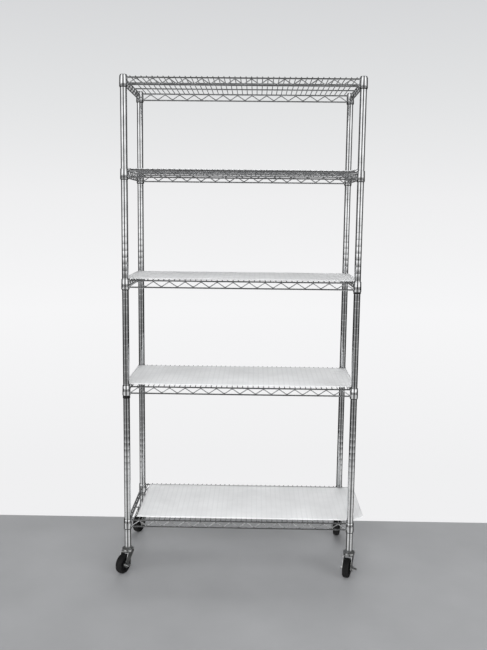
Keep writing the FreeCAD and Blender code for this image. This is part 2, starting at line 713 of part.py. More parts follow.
# How far each fork has swung round from pointing straight forward, in degrees about +Z.
SWIVEL = {"front_left": -27, "front_right": -19, "back_left": -24, "back_right": -15}
for corner, (x, y) in CORNERS.items():
    place = dict(x=x, y=y, angle=SWIVEL[corner])
    braked = corner.startswith("front")
    sub_part(f"caster_{corner}_stem", [stem], **place)
    sub_part(f"caster_{corner}_fork", [fork_shape], **place)
    sub_part(f"caster_{corner}_axle_bolt", [pedal_axle if braked else plain_axle], **place)
    sub_part(f"caster_{corner}_wheel_centre", [centre_shape], **place)
    sub_part(f"caster_{corner}_tyre", [tyre_shape], **place)
    if braked:
        sub_part(f"caster_{corner}_brake_pedal", [pedal_shape], **place)

# ---------------------------------------------------------------- check and write

doc.recompute()
for obj in doc.Objects:
    if "Invalid" in obj.State or "Error" in obj.State:
        raise RuntimeError(f"{obj.Label} failed: {obj.State}")
for obj in sub_parts:
    if obj.Shape.isNull() or not obj.Shape.isValid() or not obj.Shape.Solids:
        raise RuntimeError(f"{obj.Label} has no valid solid")
    obj.Shape.exportStep(f"parts/{obj.Label}.step")
    print(f"{obj.Label}: {len(obj.Shape.Solids)} solids, {obj.Shape.Volume / 1000:.1f} cm3")
print(f"{len(sub_parts)} nodes")
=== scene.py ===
"""Chromed wire shelving rack on swivel casters: its looks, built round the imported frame.

Every piece takes its place from the frame's boxes and joints. Lengths are in metres.
"""

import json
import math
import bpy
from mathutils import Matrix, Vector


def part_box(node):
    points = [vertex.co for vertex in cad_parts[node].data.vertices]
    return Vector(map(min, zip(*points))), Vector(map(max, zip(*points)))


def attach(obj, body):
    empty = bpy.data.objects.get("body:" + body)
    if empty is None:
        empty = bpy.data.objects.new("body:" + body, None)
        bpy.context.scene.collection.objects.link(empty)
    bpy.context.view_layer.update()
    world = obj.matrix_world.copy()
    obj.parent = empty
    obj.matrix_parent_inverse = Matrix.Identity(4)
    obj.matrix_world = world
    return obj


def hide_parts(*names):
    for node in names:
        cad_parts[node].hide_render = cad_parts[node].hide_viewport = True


bl_info = {
    "name": "Wire Shelving Rack",
    "version": (1, 0, 0),
    "blender": (4, 5, 0),
    "location": "View3D > Sidebar > Rack",
    "description": "Builds a chromed wire shelving rack with frosted liners and casters",
    "category": "Add Mesh",
}

import bmesh
import bpy
from mathutils import Matrix, Vector, noise

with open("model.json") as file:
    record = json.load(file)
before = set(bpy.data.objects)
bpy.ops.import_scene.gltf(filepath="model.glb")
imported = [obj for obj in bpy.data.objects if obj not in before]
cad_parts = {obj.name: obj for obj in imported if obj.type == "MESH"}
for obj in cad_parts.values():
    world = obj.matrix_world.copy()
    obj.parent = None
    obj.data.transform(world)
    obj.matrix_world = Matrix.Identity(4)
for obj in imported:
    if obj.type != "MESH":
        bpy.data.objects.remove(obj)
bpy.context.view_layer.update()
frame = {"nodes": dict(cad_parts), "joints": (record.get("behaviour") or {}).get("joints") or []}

MM = 0.001
FULL_TURN = 2 * math.pi
CORNERS = ("front_left", "front_right", "back_left", "back_right")
LEVELS = (1, 2, 3, 4, 5)
RACK = "rack"

POST_CHROME = "Chrome-plated post tube"
WIRE_CHROME = "Chrome-plated shelf wire"
COLLAR_CHROME = "Chrome-plated collar"
ZINC = "Zinc-plated pressed steel"
BLACK_PLASTIC = "Moulded black polypropylene"
RUBBER = "Black thermoplastic rubber tread"
FROSTED = "Frosted polypropylene sheet"
# How dark the painted shade of a wire right under a liner is, where the wire shows through the
# sheet.
PAINTED_WIRE_SHADE_STRENGTH = 0.24


# ---------------------------------------------------------------- places from the frame

def box_of(node):
    low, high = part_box(node)
    return Vector(low), Vector(high)


def joint(name):
    return next(item for item in frame["joints"] if item["name"] == name)


def post_axis(corner):
    low, high = box_of(f"post_{corner}_lower")
    return (low + high).xy / 2


POST_AXIS = {corner: post_axis(corner) for corner in CORNERS}
SPAN_X = POST_AXIS["front_right"].x - POST_AXIS["front_left"].x
SPAN_Y = POST_AXIS["back_left"].y - POST_AXIS["front_left"].y
POST_RADIUS = box_of("post_front_right_lower")[1].x - SPAN_X / 2
POST_FOOT = box_of("post_front_left_lower")[0].z
RAIL_RADIUS = box_of("shelf_1_trusses")[1].x - SPAN_X / 2
RAIL_HEIGHT = {
    level: box_of(f"shelf_{level}_trusses")[1].z - RAIL_RADIUS for level in LEVELS
}
TRUSS_HEIGHT = RAIL_HEIGHT[1] - RAIL_RADIUS - box_of("shelf_1_trusses")[0].z
# The collar's foot, its widest place, and its ends measured from the middle of the top rail.
COLLAR_REACH = box_of("shelf_1_corner_collars")[1].x - SPAN_X / 2
COLLAR_FOOT = box_of("shelf_1_corner_collars")[0].z - RAIL_HEIGHT[1]
COLLAR_TOP = box_of("shelf_1_corner_collars")[1].z - RAIL_HEIGHT[1]
# How much less the collar's radius is at its top, and its wall.
COLLAR_TAPER = 0.8 * MM
COLLAR_WALL = 1.2 * MM


def linear(code):
    """An sRGB hex colour as linear RGBA."""
    parts = [int(code[i:i + 2], 16) / 255 for i in (1, 3, 5)]
    return (*(c / 12.92 if c <= 0.04045 else ((c + 0.055) / 1.055) ** 2.4 for c in parts), 1.0)


# ---------------------------------------------------------------- sizes and colours to change

class RackLooks(bpy.types.PropertyGroup):
    """Sizes and colours of the looks that the frame leaves open"""
    groove_pitch: bpy.props.FloatProperty(
        name="Groove pitch", description="Distance between the grooves of the posts",
        default=25.4 * MM, unit="LENGTH")
    first_groove: bpy.props.FloatProperty(
        name="First groove", description="Foot of the post to the middle of its first groove",
        default=12.7 * MM, unit="LENGTH")
    groove_depth: bpy.props.FloatProperty(
        name="Groove depth", description="Depth of a rolled groove",
        default=0.05 * MM, unit="LENGTH")
    zigzag_waves: bpy.props.IntProperty(
        name="Truss waves", description="Waves of the bent wire along the front", default=14)
    bend_radius: bpy.props.FloatProperty(
        name="Truss bend", description="Bend radius of the truss wire",
        default=7 * MM, unit="LENGTH")
    zigzag_radius: bpy.props.FloatProperty(
        name="Truss wire radius", description="Radius of the bent wire",
        default=1.9 * MM, unit="LENGTH")
    cross_pitch: bpy.props.FloatProperty(
        name="Cross wire pitch", description="Distance between deck wires",
        default=20 * MM, unit="LENGTH")
    cross_wires: bpy.props.IntProperty(
        name="Cross wires", description="Wires in one deck", default=42)
    cross_radius: bpy.props.FloatProperty(
        name="Cross wire radius", description="Radius of a deck wire",
        default=1.6 * MM, unit="LENGTH")
    stringer_offset: bpy.props.FloatProperty(
        name="Stringer offset", description="Long wire under the deck to the shelf's middle",
        default=70 * MM, unit="LENGTH")
    liner_ripple: bpy.props.FloatProperty(
        name="Liner ripple", description="How far a liner lifts off its deck between ripples",
        default=0.9 * MM, unit="LENGTH")
    wheel_ribs: bpy.props.IntProperty(
        name="Wheel ribs", description="Ribs on each side of a wheel centre", default=8)
    chrome_bright: bpy.props.FloatVectorProperty(
        name="Chrome", description="Clean plating", subtype="COLOR", size=4,
        min=0, max=1, default=linear("#d6d7d8"))
    chrome_dull: bpy.props.FloatVectorProperty(
        name="Dull chrome", description="Handled plating", subtype="COLOR", size=4,
        min=0, max=1, default=linear("#bdbebf"))
    zinc_bright: bpy.props.FloatVectorProperty(
        name="Zinc", description="Bright flecks of the zinc plating", subtype="COLOR", size=4,
        min=0, max=1, default=linear("#c3c4c3"))
    zinc_dull: bpy.props.FloatVectorProperty(
        name="Dull zinc", description="Dull flecks of the zinc plating", subtype="COLOR",
        size=4, min=0, max=1, default=linear("#8d8f90"))
    plastic: bpy.props.FloatVectorProperty(
        name="Black plastic", description="Sleeves, caps and wheel centres", subtype="COLOR",
        size=4, min=0, max=1, default=linear("#0b0b0c"))
    plastic_rubbed: bpy.props.FloatVectorProperty(
        name="Rubbed plastic", description="Plastic where it has been handled",
        subtype="COLOR", size=4, min=0, max=1, default=linear("#2a2a2b"))
    rubber: bpy.props.FloatVectorProperty(
        name="Rubber", description="Clean tyre", subtype="COLOR", size=4,
        min=0, max=1, default=linear("#0c0c0d"))
    rubber_dust: bpy.props.FloatVectorProperty(
        name="Dusty rubber", description="Tyre where floor dust clings", subtype="COLOR",
        size=4, min=0, max=1, default=linear("#1d1c1b"))
    liner: bpy.props.FloatVectorProperty(
        name="Liner", description="Frosted sheet", subtype="COLOR", size=4,
        min=0, max=1, default=linear("#eeeff0"))
    liner_cloud: bpy.props.FloatVectorProperty(
        name="Cloudy liner", description="Frosted sheet where it is cloudier",
        subtype="COLOR", size=4, min=0, max=1, default=linear("#dfe0e1"))
    # Painted shade: the grey of a wire seen through the frosted sheet, painted into the liner's
    # colour.
    liner_shadow: bpy.props.FloatVectorProperty(
        name="Wire under the liner", description="Frosted sheet right above a wire",
        subtype="COLOR", size=4, min=0, max=1, default=linear("#a9abad"))


def looks():
    return bpy.context.scene.rack_looks


# ---------------------------------------------------------------- helpers

def add_node(tree, kind, inputs=None, stops=None, **settings):
    """Add a node with its settings; an input takes a plain value, a socket, or a node, which
    stands for its first output. A list makes several links, and stops are a ramp's colours."""
    made = tree.nodes.new(kind)
    for name, value in settings.items():
        setattr(made, name, value)
    for key, given in (inputs or {}).items():
        for value in given if isinstance(given, list) else [given]:
            if isinstance(value, bpy.types.Node):
                value = value.outputs[0]
            if isinstance(value, bpy.types.NodeSocket):
                tree.links.new(value, made.inputs[key])
            else:
                made.inputs[key].default_value = value
    if stops:
        elements = made.color_ramp.elements
        while len(elements) < len(stops):
            elements.new(1.0)
        for element, (position, colour) in zip(elements, stops):
            element.position = position
            element.color = colour
    return made


def grey(value):
    return (value, value, value, 1.0)


def new_object(name, mesh):
    obj = bpy.data.objects.new(name, mesh)
    bpy.context.scene.collection.objects.link(obj)
    return obj


def mesh_from(name, bm, smooth_below=35):
    """A mesh of bm, smooth except across edges that turn by more than the angle."""
    mesh = bpy.data.meshes.new(name)
    bm.normal_update()
    for face in bm.faces:
        face.smooth = True
    for edge in bm.edges:
        turns = edge.is_manifold and edge.calc_face_angle(0) > math.radians(smooth_below)
        edge.smooth = not turns
    bm.to_mesh(mesh)
    bm.free()
    return mesh


def add_mesh(bm, mesh, place):
    """Copy a mesh into bm, moved by the matrix place."""
    start = len(bm.verts)
    bm.from_mesh(mesh)
    bm.verts.ensure_lookup_table()
    bmesh.ops.transform(bm, matrix=place, verts=bm.verts[start:])


def lathe(bm, profile, place, sides=48, ends="capped", arc=FULL_TURN):
    """Turn (radius, height) pairs round Z: capped at both ends, open, or joined as a ring."""
    part_turn = arc < FULL_TURN
    rings = [
        [
            bm.verts.new(place @ Vector((
                radius * math.cos(arc * i / sides), radius * math.sin(arc * i / sides), height)))
            for i in range(sides + part_turn)
        ]
        for radius, height in profile
    ]
    pairs = list(zip(rings, rings[1:]))
    if ends == "joined":
        pairs.append((rings[-1], rings[0]))
    for low, high in pairs:
        for i in range(sides):
            after = (i + 1) % len(low)
            bm.faces.new((low[i], low[after], high[after], high[i]))
    if part_turn:
        bm.faces.new([ring[0] for ring in rings])
        bm.faces.new([ring[-1] for ring in reversed(rings)])
    elif ends == "capped":
        bm.faces.new(list(reversed(rings[0])))
        bm.faces.new(rings[-1])


def face_outward(bm):
    bmesh.ops.remove_doubles(bm, verts=bm.verts, dist=0.001 * MM)
    bmesh.ops.recalc_face_normals(bm, faces=bm.faces)


def settle(obj):
    """Replace an object's mesh by its evaluated one, and drop the modifiers."""
    depsgraph = bpy.context.evaluated_depsgraph_get()
    mesh = bpy.data.meshes.new_from_object(obj.evaluated_get(depsgraph))
    obj.modifiers.clear()
    obj.data = mesh


def finish_piece(obj, body, material, slot, *nodes):
    """Give a piece its material, let it ride on its body and stand for its nodes."""
    obj.data.materials.clear()
    obj.data.materials.append(bpy.data.materials[material])
    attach(obj, body)
    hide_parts(*nodes)


# ---------------------------------------------------------------- materials

def new_material(name):
    """An empty material: its tree, its shader and the piece's own coordinates."""
    material = bpy.data.materials.new(name)
    material.use_nodes = True
    tree = material.node_tree
    tree.nodes.clear()
    shader = add_node(tree, "ShaderNodeBsdfPrincipled")
    add_node(tree, "ShaderNodeOutputMaterial", {"Surface": shader})
    return tree, shader, add_node(tree, "ShaderNodeTexCoord").outputs["Object"]


def wire_up(tree, shader, colour, haze, bump):
    """Link a colour, a roughness and a bump to the shader."""
    for socket, name in ((colour, "Base Color"), (haze, "Roughness"), (bump, "Normal")):
        tree.links.new(socket, shader.inputs[name])


def chrome(name, roughness, draw_scale):
    """Nickel-chrome plate over drawn steel. The eye gets a grey mirror with faint lines along
    the drawing direction, duller patches where hands have been, and a few dark pits."""
    tree, shader, place = new_material(name)
    drawn = add_node(tree, "ShaderNodeMapping", {"Vector": place, "Scale": draw_scale})
    # Draw lines are about 0.4 mm apart, too fine to show, so these are 4 mm apart.
    lines = add_node(tree, "ShaderNodeTexNoise",
                     {"Vector": drawn, "Scale": 250, "Detail": 3, "Roughness": 0.6})
    # Handled patches are 30 to 60 mm long.
    patches = add_node(tree, "ShaderNodeTexNoise",
                       {"Vector": place, "Scale": 22, "Detail": 5, "Roughness": 0.65})
    # Pits come every 4 mm or so and are half a millimetre wide.
    pits = add_node(tree, "ShaderNodeTexVoronoi", {"Vector": place, "Scale": 260})
    plating = add_node(tree, "ShaderNodeValToRGB", {"Fac": patches}, stops=[
        (0.35, looks().chrome_dull), (0.62, looks().chrome_bright)])
    pitted = add_node(tree, "ShaderNodeValToRGB", {"Fac": pits}, stops=[
        (0.0, linear("#4a4744")), (0.1, linear("#ffffff"))])
    colour = add_node(tree, "ShaderNodeMix", {0: 0.5, 6: plating, 7: pitted},
                      data_type="RGBA", blend_type="MULTIPLY")
    haze = add_node(tree, "ShaderNodeMapRange", {
        "Value": patches, "From Min": 0.3, "From Max": 0.7,
        "To Min": roughness + 0.04, "To Max": roughness})
    bump = add_node(tree, "ShaderNodeBump",
                    {"Height": lines, "Strength": 0.06, "Distance": 0.3 * MM})
    wire_up(tree, shader, colour.outputs[2], haze.outputs[0], bump.outputs[0])
    shader.inputs["Metallic"].default_value = 1.0


def zinc_plate():
    """Pressed steel plated with bright zinc. The eye gets a soft grey gloss with a fine
    mottle of brighter and duller flecks about 5 mm across."""
    tree, shader, place = new_material(ZINC)
    flecks = add_node(tree, "ShaderNodeTexVoronoi", {"Vector": place, "Scale": 200},
                      feature="SMOOTH_F1")
    cloud = add_node(tree, "ShaderNodeTexNoise",
                     {"Vector": place, "Scale": 70, "Detail": 6, "Roughness": 0.7})
    mottle = add_node(tree, "ShaderNodeMath", {0: flecks, 1: 0.35, 2: cloud},
                      operation="MULTIPLY_ADD")
    colour = add_node(tree, "ShaderNodeValToRGB", {"Fac": mottle}, stops=[
        (0.35, looks().zinc_dull), (0.75, looks().zinc_bright)])
    haze = add_node(tree, "ShaderNodeMapRange", {
        "Value": cloud, "From Min": 0.3, "From Max": 0.7, "To Min": 0.42, "To Max": 0.26})
    bump = add_node(tree, "ShaderNodeBump",
                    {"Height": cloud, "Strength": 0.12, "Distance": 0.4 * MM})
    wire_up(tree, shader, colour.outputs[0], haze.outputs[0], bump.outputs[0])
    shader.inputs["Metallic"].default_value = 1.0


def moulded_black():
    """Injection-moulded polypropylene. The eye gets a satin black with a fine spark-eroded
    grain of about 0.7 mm and greyer places where it was rubbed."""
    tree, shader, place = new_material(BLACK_PLASTIC)
    grain = add_node(tree, "ShaderNodeTexNoise", {"Vector": place, "Scale": 1400, "Detail": 2})
    rubbed = add_node(tree, "ShaderNodeTexNoise",
                      {"Vector": place, "Scale": 55, "Detail": 5, "Roughness": 0.6})
    colour = add_node(tree, "ShaderNodeValToRGB", {"Fac": rubbed}, stops=[
        (0.45, looks().plastic), (0.8, looks().plastic_rubbed)])
    haze = add_node(tree, "ShaderNodeMapRange",
                    {"Value": rubbed, "To Min": 0.48, "To Max": 0.66})
    bump = add_node(tree, "ShaderNodeBump",
                    {"Height": grain, "Strength": 0.15, "Distance": 0.2 * MM})
    wire_up(tree, shader, colour.outputs[0], haze.outputs[0], bump.outputs[0])
    shader.inputs["Specular IOR Level"].default_value = 0.35


def tyre_rubber():
    """Moulded thermoplastic rubber. The eye gets a dull black, with pale floor dust in spots
    2 to 6 mm across."""
    tree, shader, place = new_material(RUBBER)
    dust = add_node(tree, "ShaderNodeTexNoise",
                    {"Vector": place, "Scale": 160, "Detail": 6, "Roughness": 0.7})
    colour = add_node(tree, "ShaderNodeValToRGB", {"Fac": dust}, stops=[
        (0.45, looks().rubber), (0.85, looks().rubber_dust)])
    haze = add_node(tree, "ShaderNodeMapRange", {"Value": dust, "To Min": 0.45, "To Max": 0.8})
    bump = add_node(tree, "ShaderNodeBump",
                    {"Height": dust, "Strength": 0.25, "Distance": 0.5 * MM})
    wire_up(tree, shader, colour.outputs[0], haze.outputs[0], bump.outputs[0])
    shader.inputs["Specular IOR Level"].default_value = 0.3


def frosted_sheet():
    """Extruded polypropylene with a frosted face. The eye gets a milky sheet with a soft
    sheen. The wires that touch it from below show through as faint grey lines of painted
    shade, greyed into the sheet's colour."""
    tree, shader, place = new_material(FROSTED)
    # The frosting is finer than 0.2 mm, so it is drawn at about 1 mm.
    frost = add_node(tree, "ShaderNodeTexNoise", {"Vector": place, "Scale": 900, "Detail": 2})
    cloud = add_node(tree, "ShaderNodeTexNoise",
                     {"Vector": place, "Scale": 7, "Detail": 4, "Roughness": 0.6})
    # Scuffs run a few centimetres, mostly front to back, as pots are pulled over the sheet.
    pulled = add_node(tree, "ShaderNodeMapping", {"Vector": place, "Scale": (1, 0.12, 1)})
    scuffs = add_node(tree, "ShaderNodeTexNoise",
                      {"Vector": pulled, "Scale": 160, "Detail": 5, "Roughness": 0.7})
    milky = add_node(tree, "ShaderNodeValToRGB", {"Fac": cloud}, stops=[
        (0.3, looks().liner_cloud), (0.7, looks().liner)])
    # The wires stand one pitch apart, with a gap in the middle of the shelf.
    across = add_node(tree, "ShaderNodeSeparateXYZ", {"Vector": place})
    along = add_node(tree, "ShaderNodeMath", {0: across, 1: looks().cross_pitch / 2},
                     operation="PINGPONG")
    # Painted shade: the sheet's colour is greyed within 4 mm of each wire below it.
    wire_shade_mask = add_node(tree, "ShaderNodeMapRange", {
        "Value": along, "From Min": looks().cross_pitch / 2 - 4 * MM,
        "From Max": looks().cross_pitch / 2, "To Max": PAINTED_WIRE_SHADE_STRENGTH}, interpolation_type="SMOOTHSTEP")
    patchy_wire_shade = add_node(tree, "ShaderNodeMath", {0: wire_shade_mask, 1: cloud}, operation="MULTIPLY")
    # The painted wire shade, patchy with the cloud, mixes the milky colour towards the grey of the
    # wire under the liner.
    colour = add_node(tree, "ShaderNodeMix", {0: patchy_wire_shade, 6: milky, 7: looks().liner_shadow},
                      data_type="RGBA")
    haze = add_node(tree, "ShaderNodeMapRange", {
        "Value": scuffs, "From Min": 0.35, "From Max": 0.7, "To Min": 0.42, "To Max": 0.6})
    bump = add_node(tree, "ShaderNodeBump",
                    {"Height": frost, "Strength": 0.05, "Distance": 0.1 * MM})
    wire_up(tree, shader, colour.outputs[2], haze.outputs[0], bump.outputs[0])
    shader.inputs["IOR"].default_value = 1.49
    shader.inputs["Specular IOR Level"].default_value = 0.3


class RACK_OT_materials(bpy.types.Operator):
    """Make the rack's materials"""
    bl_idname = "rack.materials"
    bl_label = "Materials"

    def execute(self, context):
        # The tubes are drawn upwards, the deck wires mostly sideways on to the eye.
        chrome(POST_CHROME, roughness=0.05, draw_scale=(1, 1, 0.04))
        chrome(WIRE_CHROME, roughness=0.07, draw_scale=(0.3, 0.3, 1))
        chrome(COLLAR_CHROME, roughness=0.09, draw_scale=(1, 1, 0.2))
        zinc_plate()
        moulded_black()
        tyre_rubber()
        frosted_sheet()
        return {"FINISHED"}


# ---------------------------------------------------------------- Geometry Nodes trees

def new_tree(name, sizes):
    """A Geometry Nodes tree with named inputs; sizes maps each name to its socket kind."""
    tree = bpy.data.node_groups.new(name, "GeometryNodeTree")
    tree.interface.new_socket("Geometry", in_out="INPUT", socket_type="NodeSocketGeometry")
    tree.interface.new_socket("Geometry", in_out="OUTPUT", socket_type="NodeSocketGeometry")
    for label, kind in sizes.items():
        tree.interface.new_socket(label, in_out="INPUT", socket_type=f"NodeSocket{kind}")
    return tree, add_node(tree, "NodeGroupInput").outputs


def close_tree(tree, pieces, material):
    """Join the pieces and end the tree in Realize Instances and Set Material."""
    joined = add_node(tree, "GeometryNodeJoinGeometry", {"Geometry": pieces})
    real = add_node(tree, "GeometryNodeRealizeInstances", {"Geometry": joined})
    merged = add_node(tree, "GeometryNodeMergeByDistance",
                      {"Geometry": real, "Distance": 0.01 * MM})
    painted = add_node(tree, "GeometryNodeSetMaterial", {
        "Geometry": merged, "Material": bpy.data.materials[material]})
    add_node(tree, "NodeGroupOutput", {"Geometry": painted})
    return tree


def grown(name, tree, values, mesh=None):
    """The plain mesh that a tree makes with these named input values."""
    obj = new_object(name, mesh or bpy.data.meshes.new(name))
    modifier = obj.modifiers.new("Shape", "NODES")
    modifier.node_group = tree
    for item in tree.interface.items_tree:
        if item.in_out == "INPUT" and item.name in values:
            modifier[item.identifier] = values[item.name]
    settle(obj)
    result = obj.data
    bpy.data.objects.remove(obj)
    return result


RAIL_SIDES = 18
WIRE_SIDES = 12


def swept(tree, path, radius, sides):
    """A round wire along a path, with closed ends."""
    section = add_node(tree, "GeometryNodeCurvePrimitiveCircle",
                       {"Resolution": sides, "Radius": radius})
    return add_node(tree, "GeometryNodeCurveToMesh",
                    {"Curve": path, "Profile Curve": section, "Fill Caps": True})


def rod(tree, start, end, radius, sides):
    """A straight round wire between two points."""
    line = add_node(tree, "GeometryNodeCurvePrimitiveLine", {"Start": start, "End": end})
    return swept(tree, line, radius, sides)


def weld_nuggets(tree, points, size):
    """A small flattened nugget of weld on every point."""
    nugget = add_node(tree, "GeometryNodeMeshUVSphere",
                      {"Segments": 8, "Rings": 5, "Radius": 1.0})
    return add_node(tree, "GeometryNodeInstanceOnPoints",
                    {"Points": points, "Instance": nugget, "Scale": size})


def repeat_up_tree():
    """Repeat one grooved length of tube upwards."""
    tree, given = new_tree("Grooved post tube", {"Grooves": "Int", "Pitch": "Vector"})
    points = add_node(tree, "GeometryNodeMeshLine",
                      {"Count": given["Grooves"], "Offset": given["Pitch"]})
    lengths = add_node(tree, "GeometryNodeInstanceOnPoints",
                       {"Points": points, "Instance": given["Geometry"]})
    return close_tree(tree, [lengths], POST_CHROME)


def repeat_round_tree():
    """Repeat one rib round Z."""
    tree, given = new_tree("Ribs of a wheel centre", {"Ribs": "Int"})
    points = add_node(tree, "GeometryNodeMeshLine",
                      {"Count": given["Ribs"], "Offset": (0.0, 0.0, 0.0)})
    index = add_node(tree, "GeometryNodeInputIndex")
    share = add_node(tree, "ShaderNodeMath", {0: FULL_TURN, 1: given["Ribs"]},
                     operation="DIVIDE")
    turn = add_node(tree, "ShaderNodeMath", {0: index, 1: share}, operation="MULTIPLY")
    turned = add_node(tree, "ShaderNodeCombineXYZ", {"Z": turn})
    ribs = add_node(tree, "GeometryNodeInstanceOnPoints", {
        "Points": points, "Instance": given["Geometry"], "Rotation": turned})
    return close_tree(tree, [ribs], BLACK_PLASTIC)


def truss_tree():
    """Top rail, bottom rail and a wire bent up and down between them, with its welds."""
    tree, given = new_tree("Wire truss", {
        "Left end": "Vector", "Right end": "Vector", "Drop": "Vector", "Corners": "Int",
        "Wave start": "Vector", "Wave step": "Vector", "Rise": "Float", "Bend radius": "Float",
        "Rail radius": "Float", "Wire radius": "Float", "Weld start": "Vector",
        "Weld rise": "Float", "Weld size": "Vector",
    })
    top = rod(tree, given["Left end"], given["Right end"], given["Rail radius"], RAIL_SIDES)
    bottom = add_node(tree, "GeometryNodeTransform",
                      {"Geometry": top, "Translation": given["Drop"]})
    index = add_node(tree, "GeometryNodeInputIndex")
    odd = add_node(tree, "ShaderNodeMath", {0: index, 1: 2.0}, operation="MODULO")
    lifted = {}
    for label, start, rise in (
        ("wave", "Wave start", "Rise"), ("weld", "Weld start", "Weld rise"),
    ):
        points = add_node(tree, "GeometryNodeMeshLine", {
            "Count": given["Corners"], "Start Location": given[start],
            "Offset": given["Wave step"]})
        height = add_node(tree, "ShaderNodeMath", {0: odd, 1: given[rise]},
                          operation="MULTIPLY")
        up = add_node(tree, "ShaderNodeCombineXYZ", {"Z": height})
        lifted[label] = add_node(tree, "GeometryNodeSetPosition",
                                 {"Geometry": points, "Offset": up})
    path = add_node(tree, "GeometryNodeMeshToCurve", {"Mesh": lifted["wave"]})
    bent = add_node(tree, "GeometryNodeFilletCurve", {
        "Curve": path, "Radius": given["Bend radius"], "Count": 6, "Limit Radius": True},
        mode="POLY")
    zigzag = swept(tree, bent, given["Wire radius"], WIRE_SIDES)
    welds = weld_nuggets(tree, lifted["weld"], given["Weld size"])
    return close_tree(tree, [top, bottom, zigzag, welds], WIRE_CHROME)


def deck_tree():
    """Cross wires along Y at an even pitch along X, welded on two stringers and the rails."""
    tree, given = new_tree("Shelf deck", {
        "Wires": "Int", "First wire": "Vector", "Pitch": "Vector", "Front end": "Vector",
        "Back end": "Vector", "Wire radius": "Float", "Stringer start": "Vector",
        "Stringer end": "Vector", "Stringer radius": "Float", "Across": "Vector",
        "Rail offset": "Vector", "Weld size": "Vector",
    })
    wire = rod(tree, given["Front end"], given["Back end"], given["Wire radius"], WIRE_SIDES)
    points = add_node(tree, "GeometryNodeMeshLine", {
        "Count": given["Wires"], "Start Location": given["First wire"],
        "Offset": given["Pitch"]})
    wires = add_node(tree, "GeometryNodeInstanceOnPoints", {"Points": points, "Instance": wire})
    stringer = rod(tree, given["Stringer start"], given["Stringer end"],
                   given["Stringer radius"], RAIL_SIDES)
    welds = weld_nuggets(tree, points, given["Weld size"])
    pieces = [wires]
    for side in (-1.0, 1.0):
        for offset, copied in (("Across", [stringer, welds]), ("Rail offset", [welds])):
            aside = add_node(tree, "ShaderNodeVectorMath", {0: given[offset], 3: side},
                             operation="SCALE")
            pieces += [
                add_node(tree, "GeometryNodeTransform",
                         {"Geometry": item, "Translation": aside})
                for item in copied
            ]
    return close_tree(tree, pieces, WIRE_CHROME)


# ---------------------------------------------------------------- posts

TUBE_SIDES = 40
TUBE_WALL = 1.2 * MM
TUBE_CHAMFER = 0.4 * MM
GROOVE_HALF_WIDTH = 0.45 * MM
# A groove's section: height in half widths from its middle, share of the full depth.
GROOVE_SECTION = ((-2, 0), (-1, 0.25), (-0.5, 0.85), (0, 1), (0.5, 0.85), (1, 0.25), (2, 0))


def grooved_length():
    """One pitch of tube wall, with its groove in the middle."""
    pitch, depth = looks().groove_pitch, looks().groove_depth
    groove = [
        (POST_RADIUS - depth * share, pitch / 2 + GROOVE_HALF_WIDTH * height)
        for height, share in GROOVE_SECTION
    ]
    bm = bmesh.new()
    lathe(bm, [(POST_RADIUS, 0), *groove, (POST_RADIUS, pitch)], Matrix(), TUBE_SIDES, "open")
    return mesh_from("Grooved length", bm)


def tube_section(length, first, count):
    """A hollow tube that stands on the origin, with its lowest groove at height first."""
    pitch = looks().groove_pitch
    lengths = grown("Grooved lengths", bpy.data.node_groups["Grooved post tube"],
                    {"Grooves": count, "Pitch": (0.0, 0.0, pitch)}, grooved_length())
    start = first - pitch / 2
    end = start + pitch * count
    inside = POST_RADIUS - TUBE_WALL
    bm = bmesh.new()
    add_mesh(bm, lengths, Matrix.Translation((0, 0, start)))
    lathe(bm, [
        (POST_RADIUS, start), (POST_RADIUS, TUBE_CHAMFER), (POST_RADIUS - TUBE_CHAMFER, 0),
        (inside, 0), (inside, length), (POST_RADIUS - TUBE_CHAMFER, length),
        (POST_RADIUS, length - TUBE_CHAMFER), (POST_RADIUS, end),
    ], Matrix(), TUBE_SIDES, "open")
    face_outward(bm)
    return mesh_from("Tube section", bm)


class RACK_OT_posts(bpy.types.Operator):
    """Build the eight grooved tube sections"""
    bl_idname = "rack.posts"
    bl_label = "Posts"

    def execute(self, context):
        pitch = looks().groove_pitch
        repeat_up_tree()
        for section in ("lower", "upper"):
            low, high = box_of(f"post_front_left_{section}")
            length = high.z - low.z
            above_foot = low.z - POST_FOOT - looks().first_groove
            first = math.ceil(above_foot / pitch) * pitch - above_foot
            # The lowest groove of all stands half a pitch up, so its length starts at the foot.
            if first < pitch / 2 - TUBE_CHAMFER:
                first += pitch
            count = int((length - first + pitch / 2) / pitch)
            tube = tube_section(length, first, count)
            for corner in CORNERS:
                bm = bmesh.new()
                add_mesh(bm, tube, Matrix.Translation((*POST_AXIS[corner], low.z)))
                obj = new_object(f"grooved_tube_{corner}_{section}", mesh_from("Tube", bm))
                finish_piece(obj, RACK, POST_CHROME, "chrome_post", f"post_{corner}_{section}")
        return {"FINISHED"}


CAP_FLANGE = 1.5 * MM
# A cap's crowned flange: distance in from its edge, drop below its top.
CAP_SECTION = ((0.2, 1.5), (0, 1.2), (0.2, 0.5), (1.5, 0.1), (5, 0))


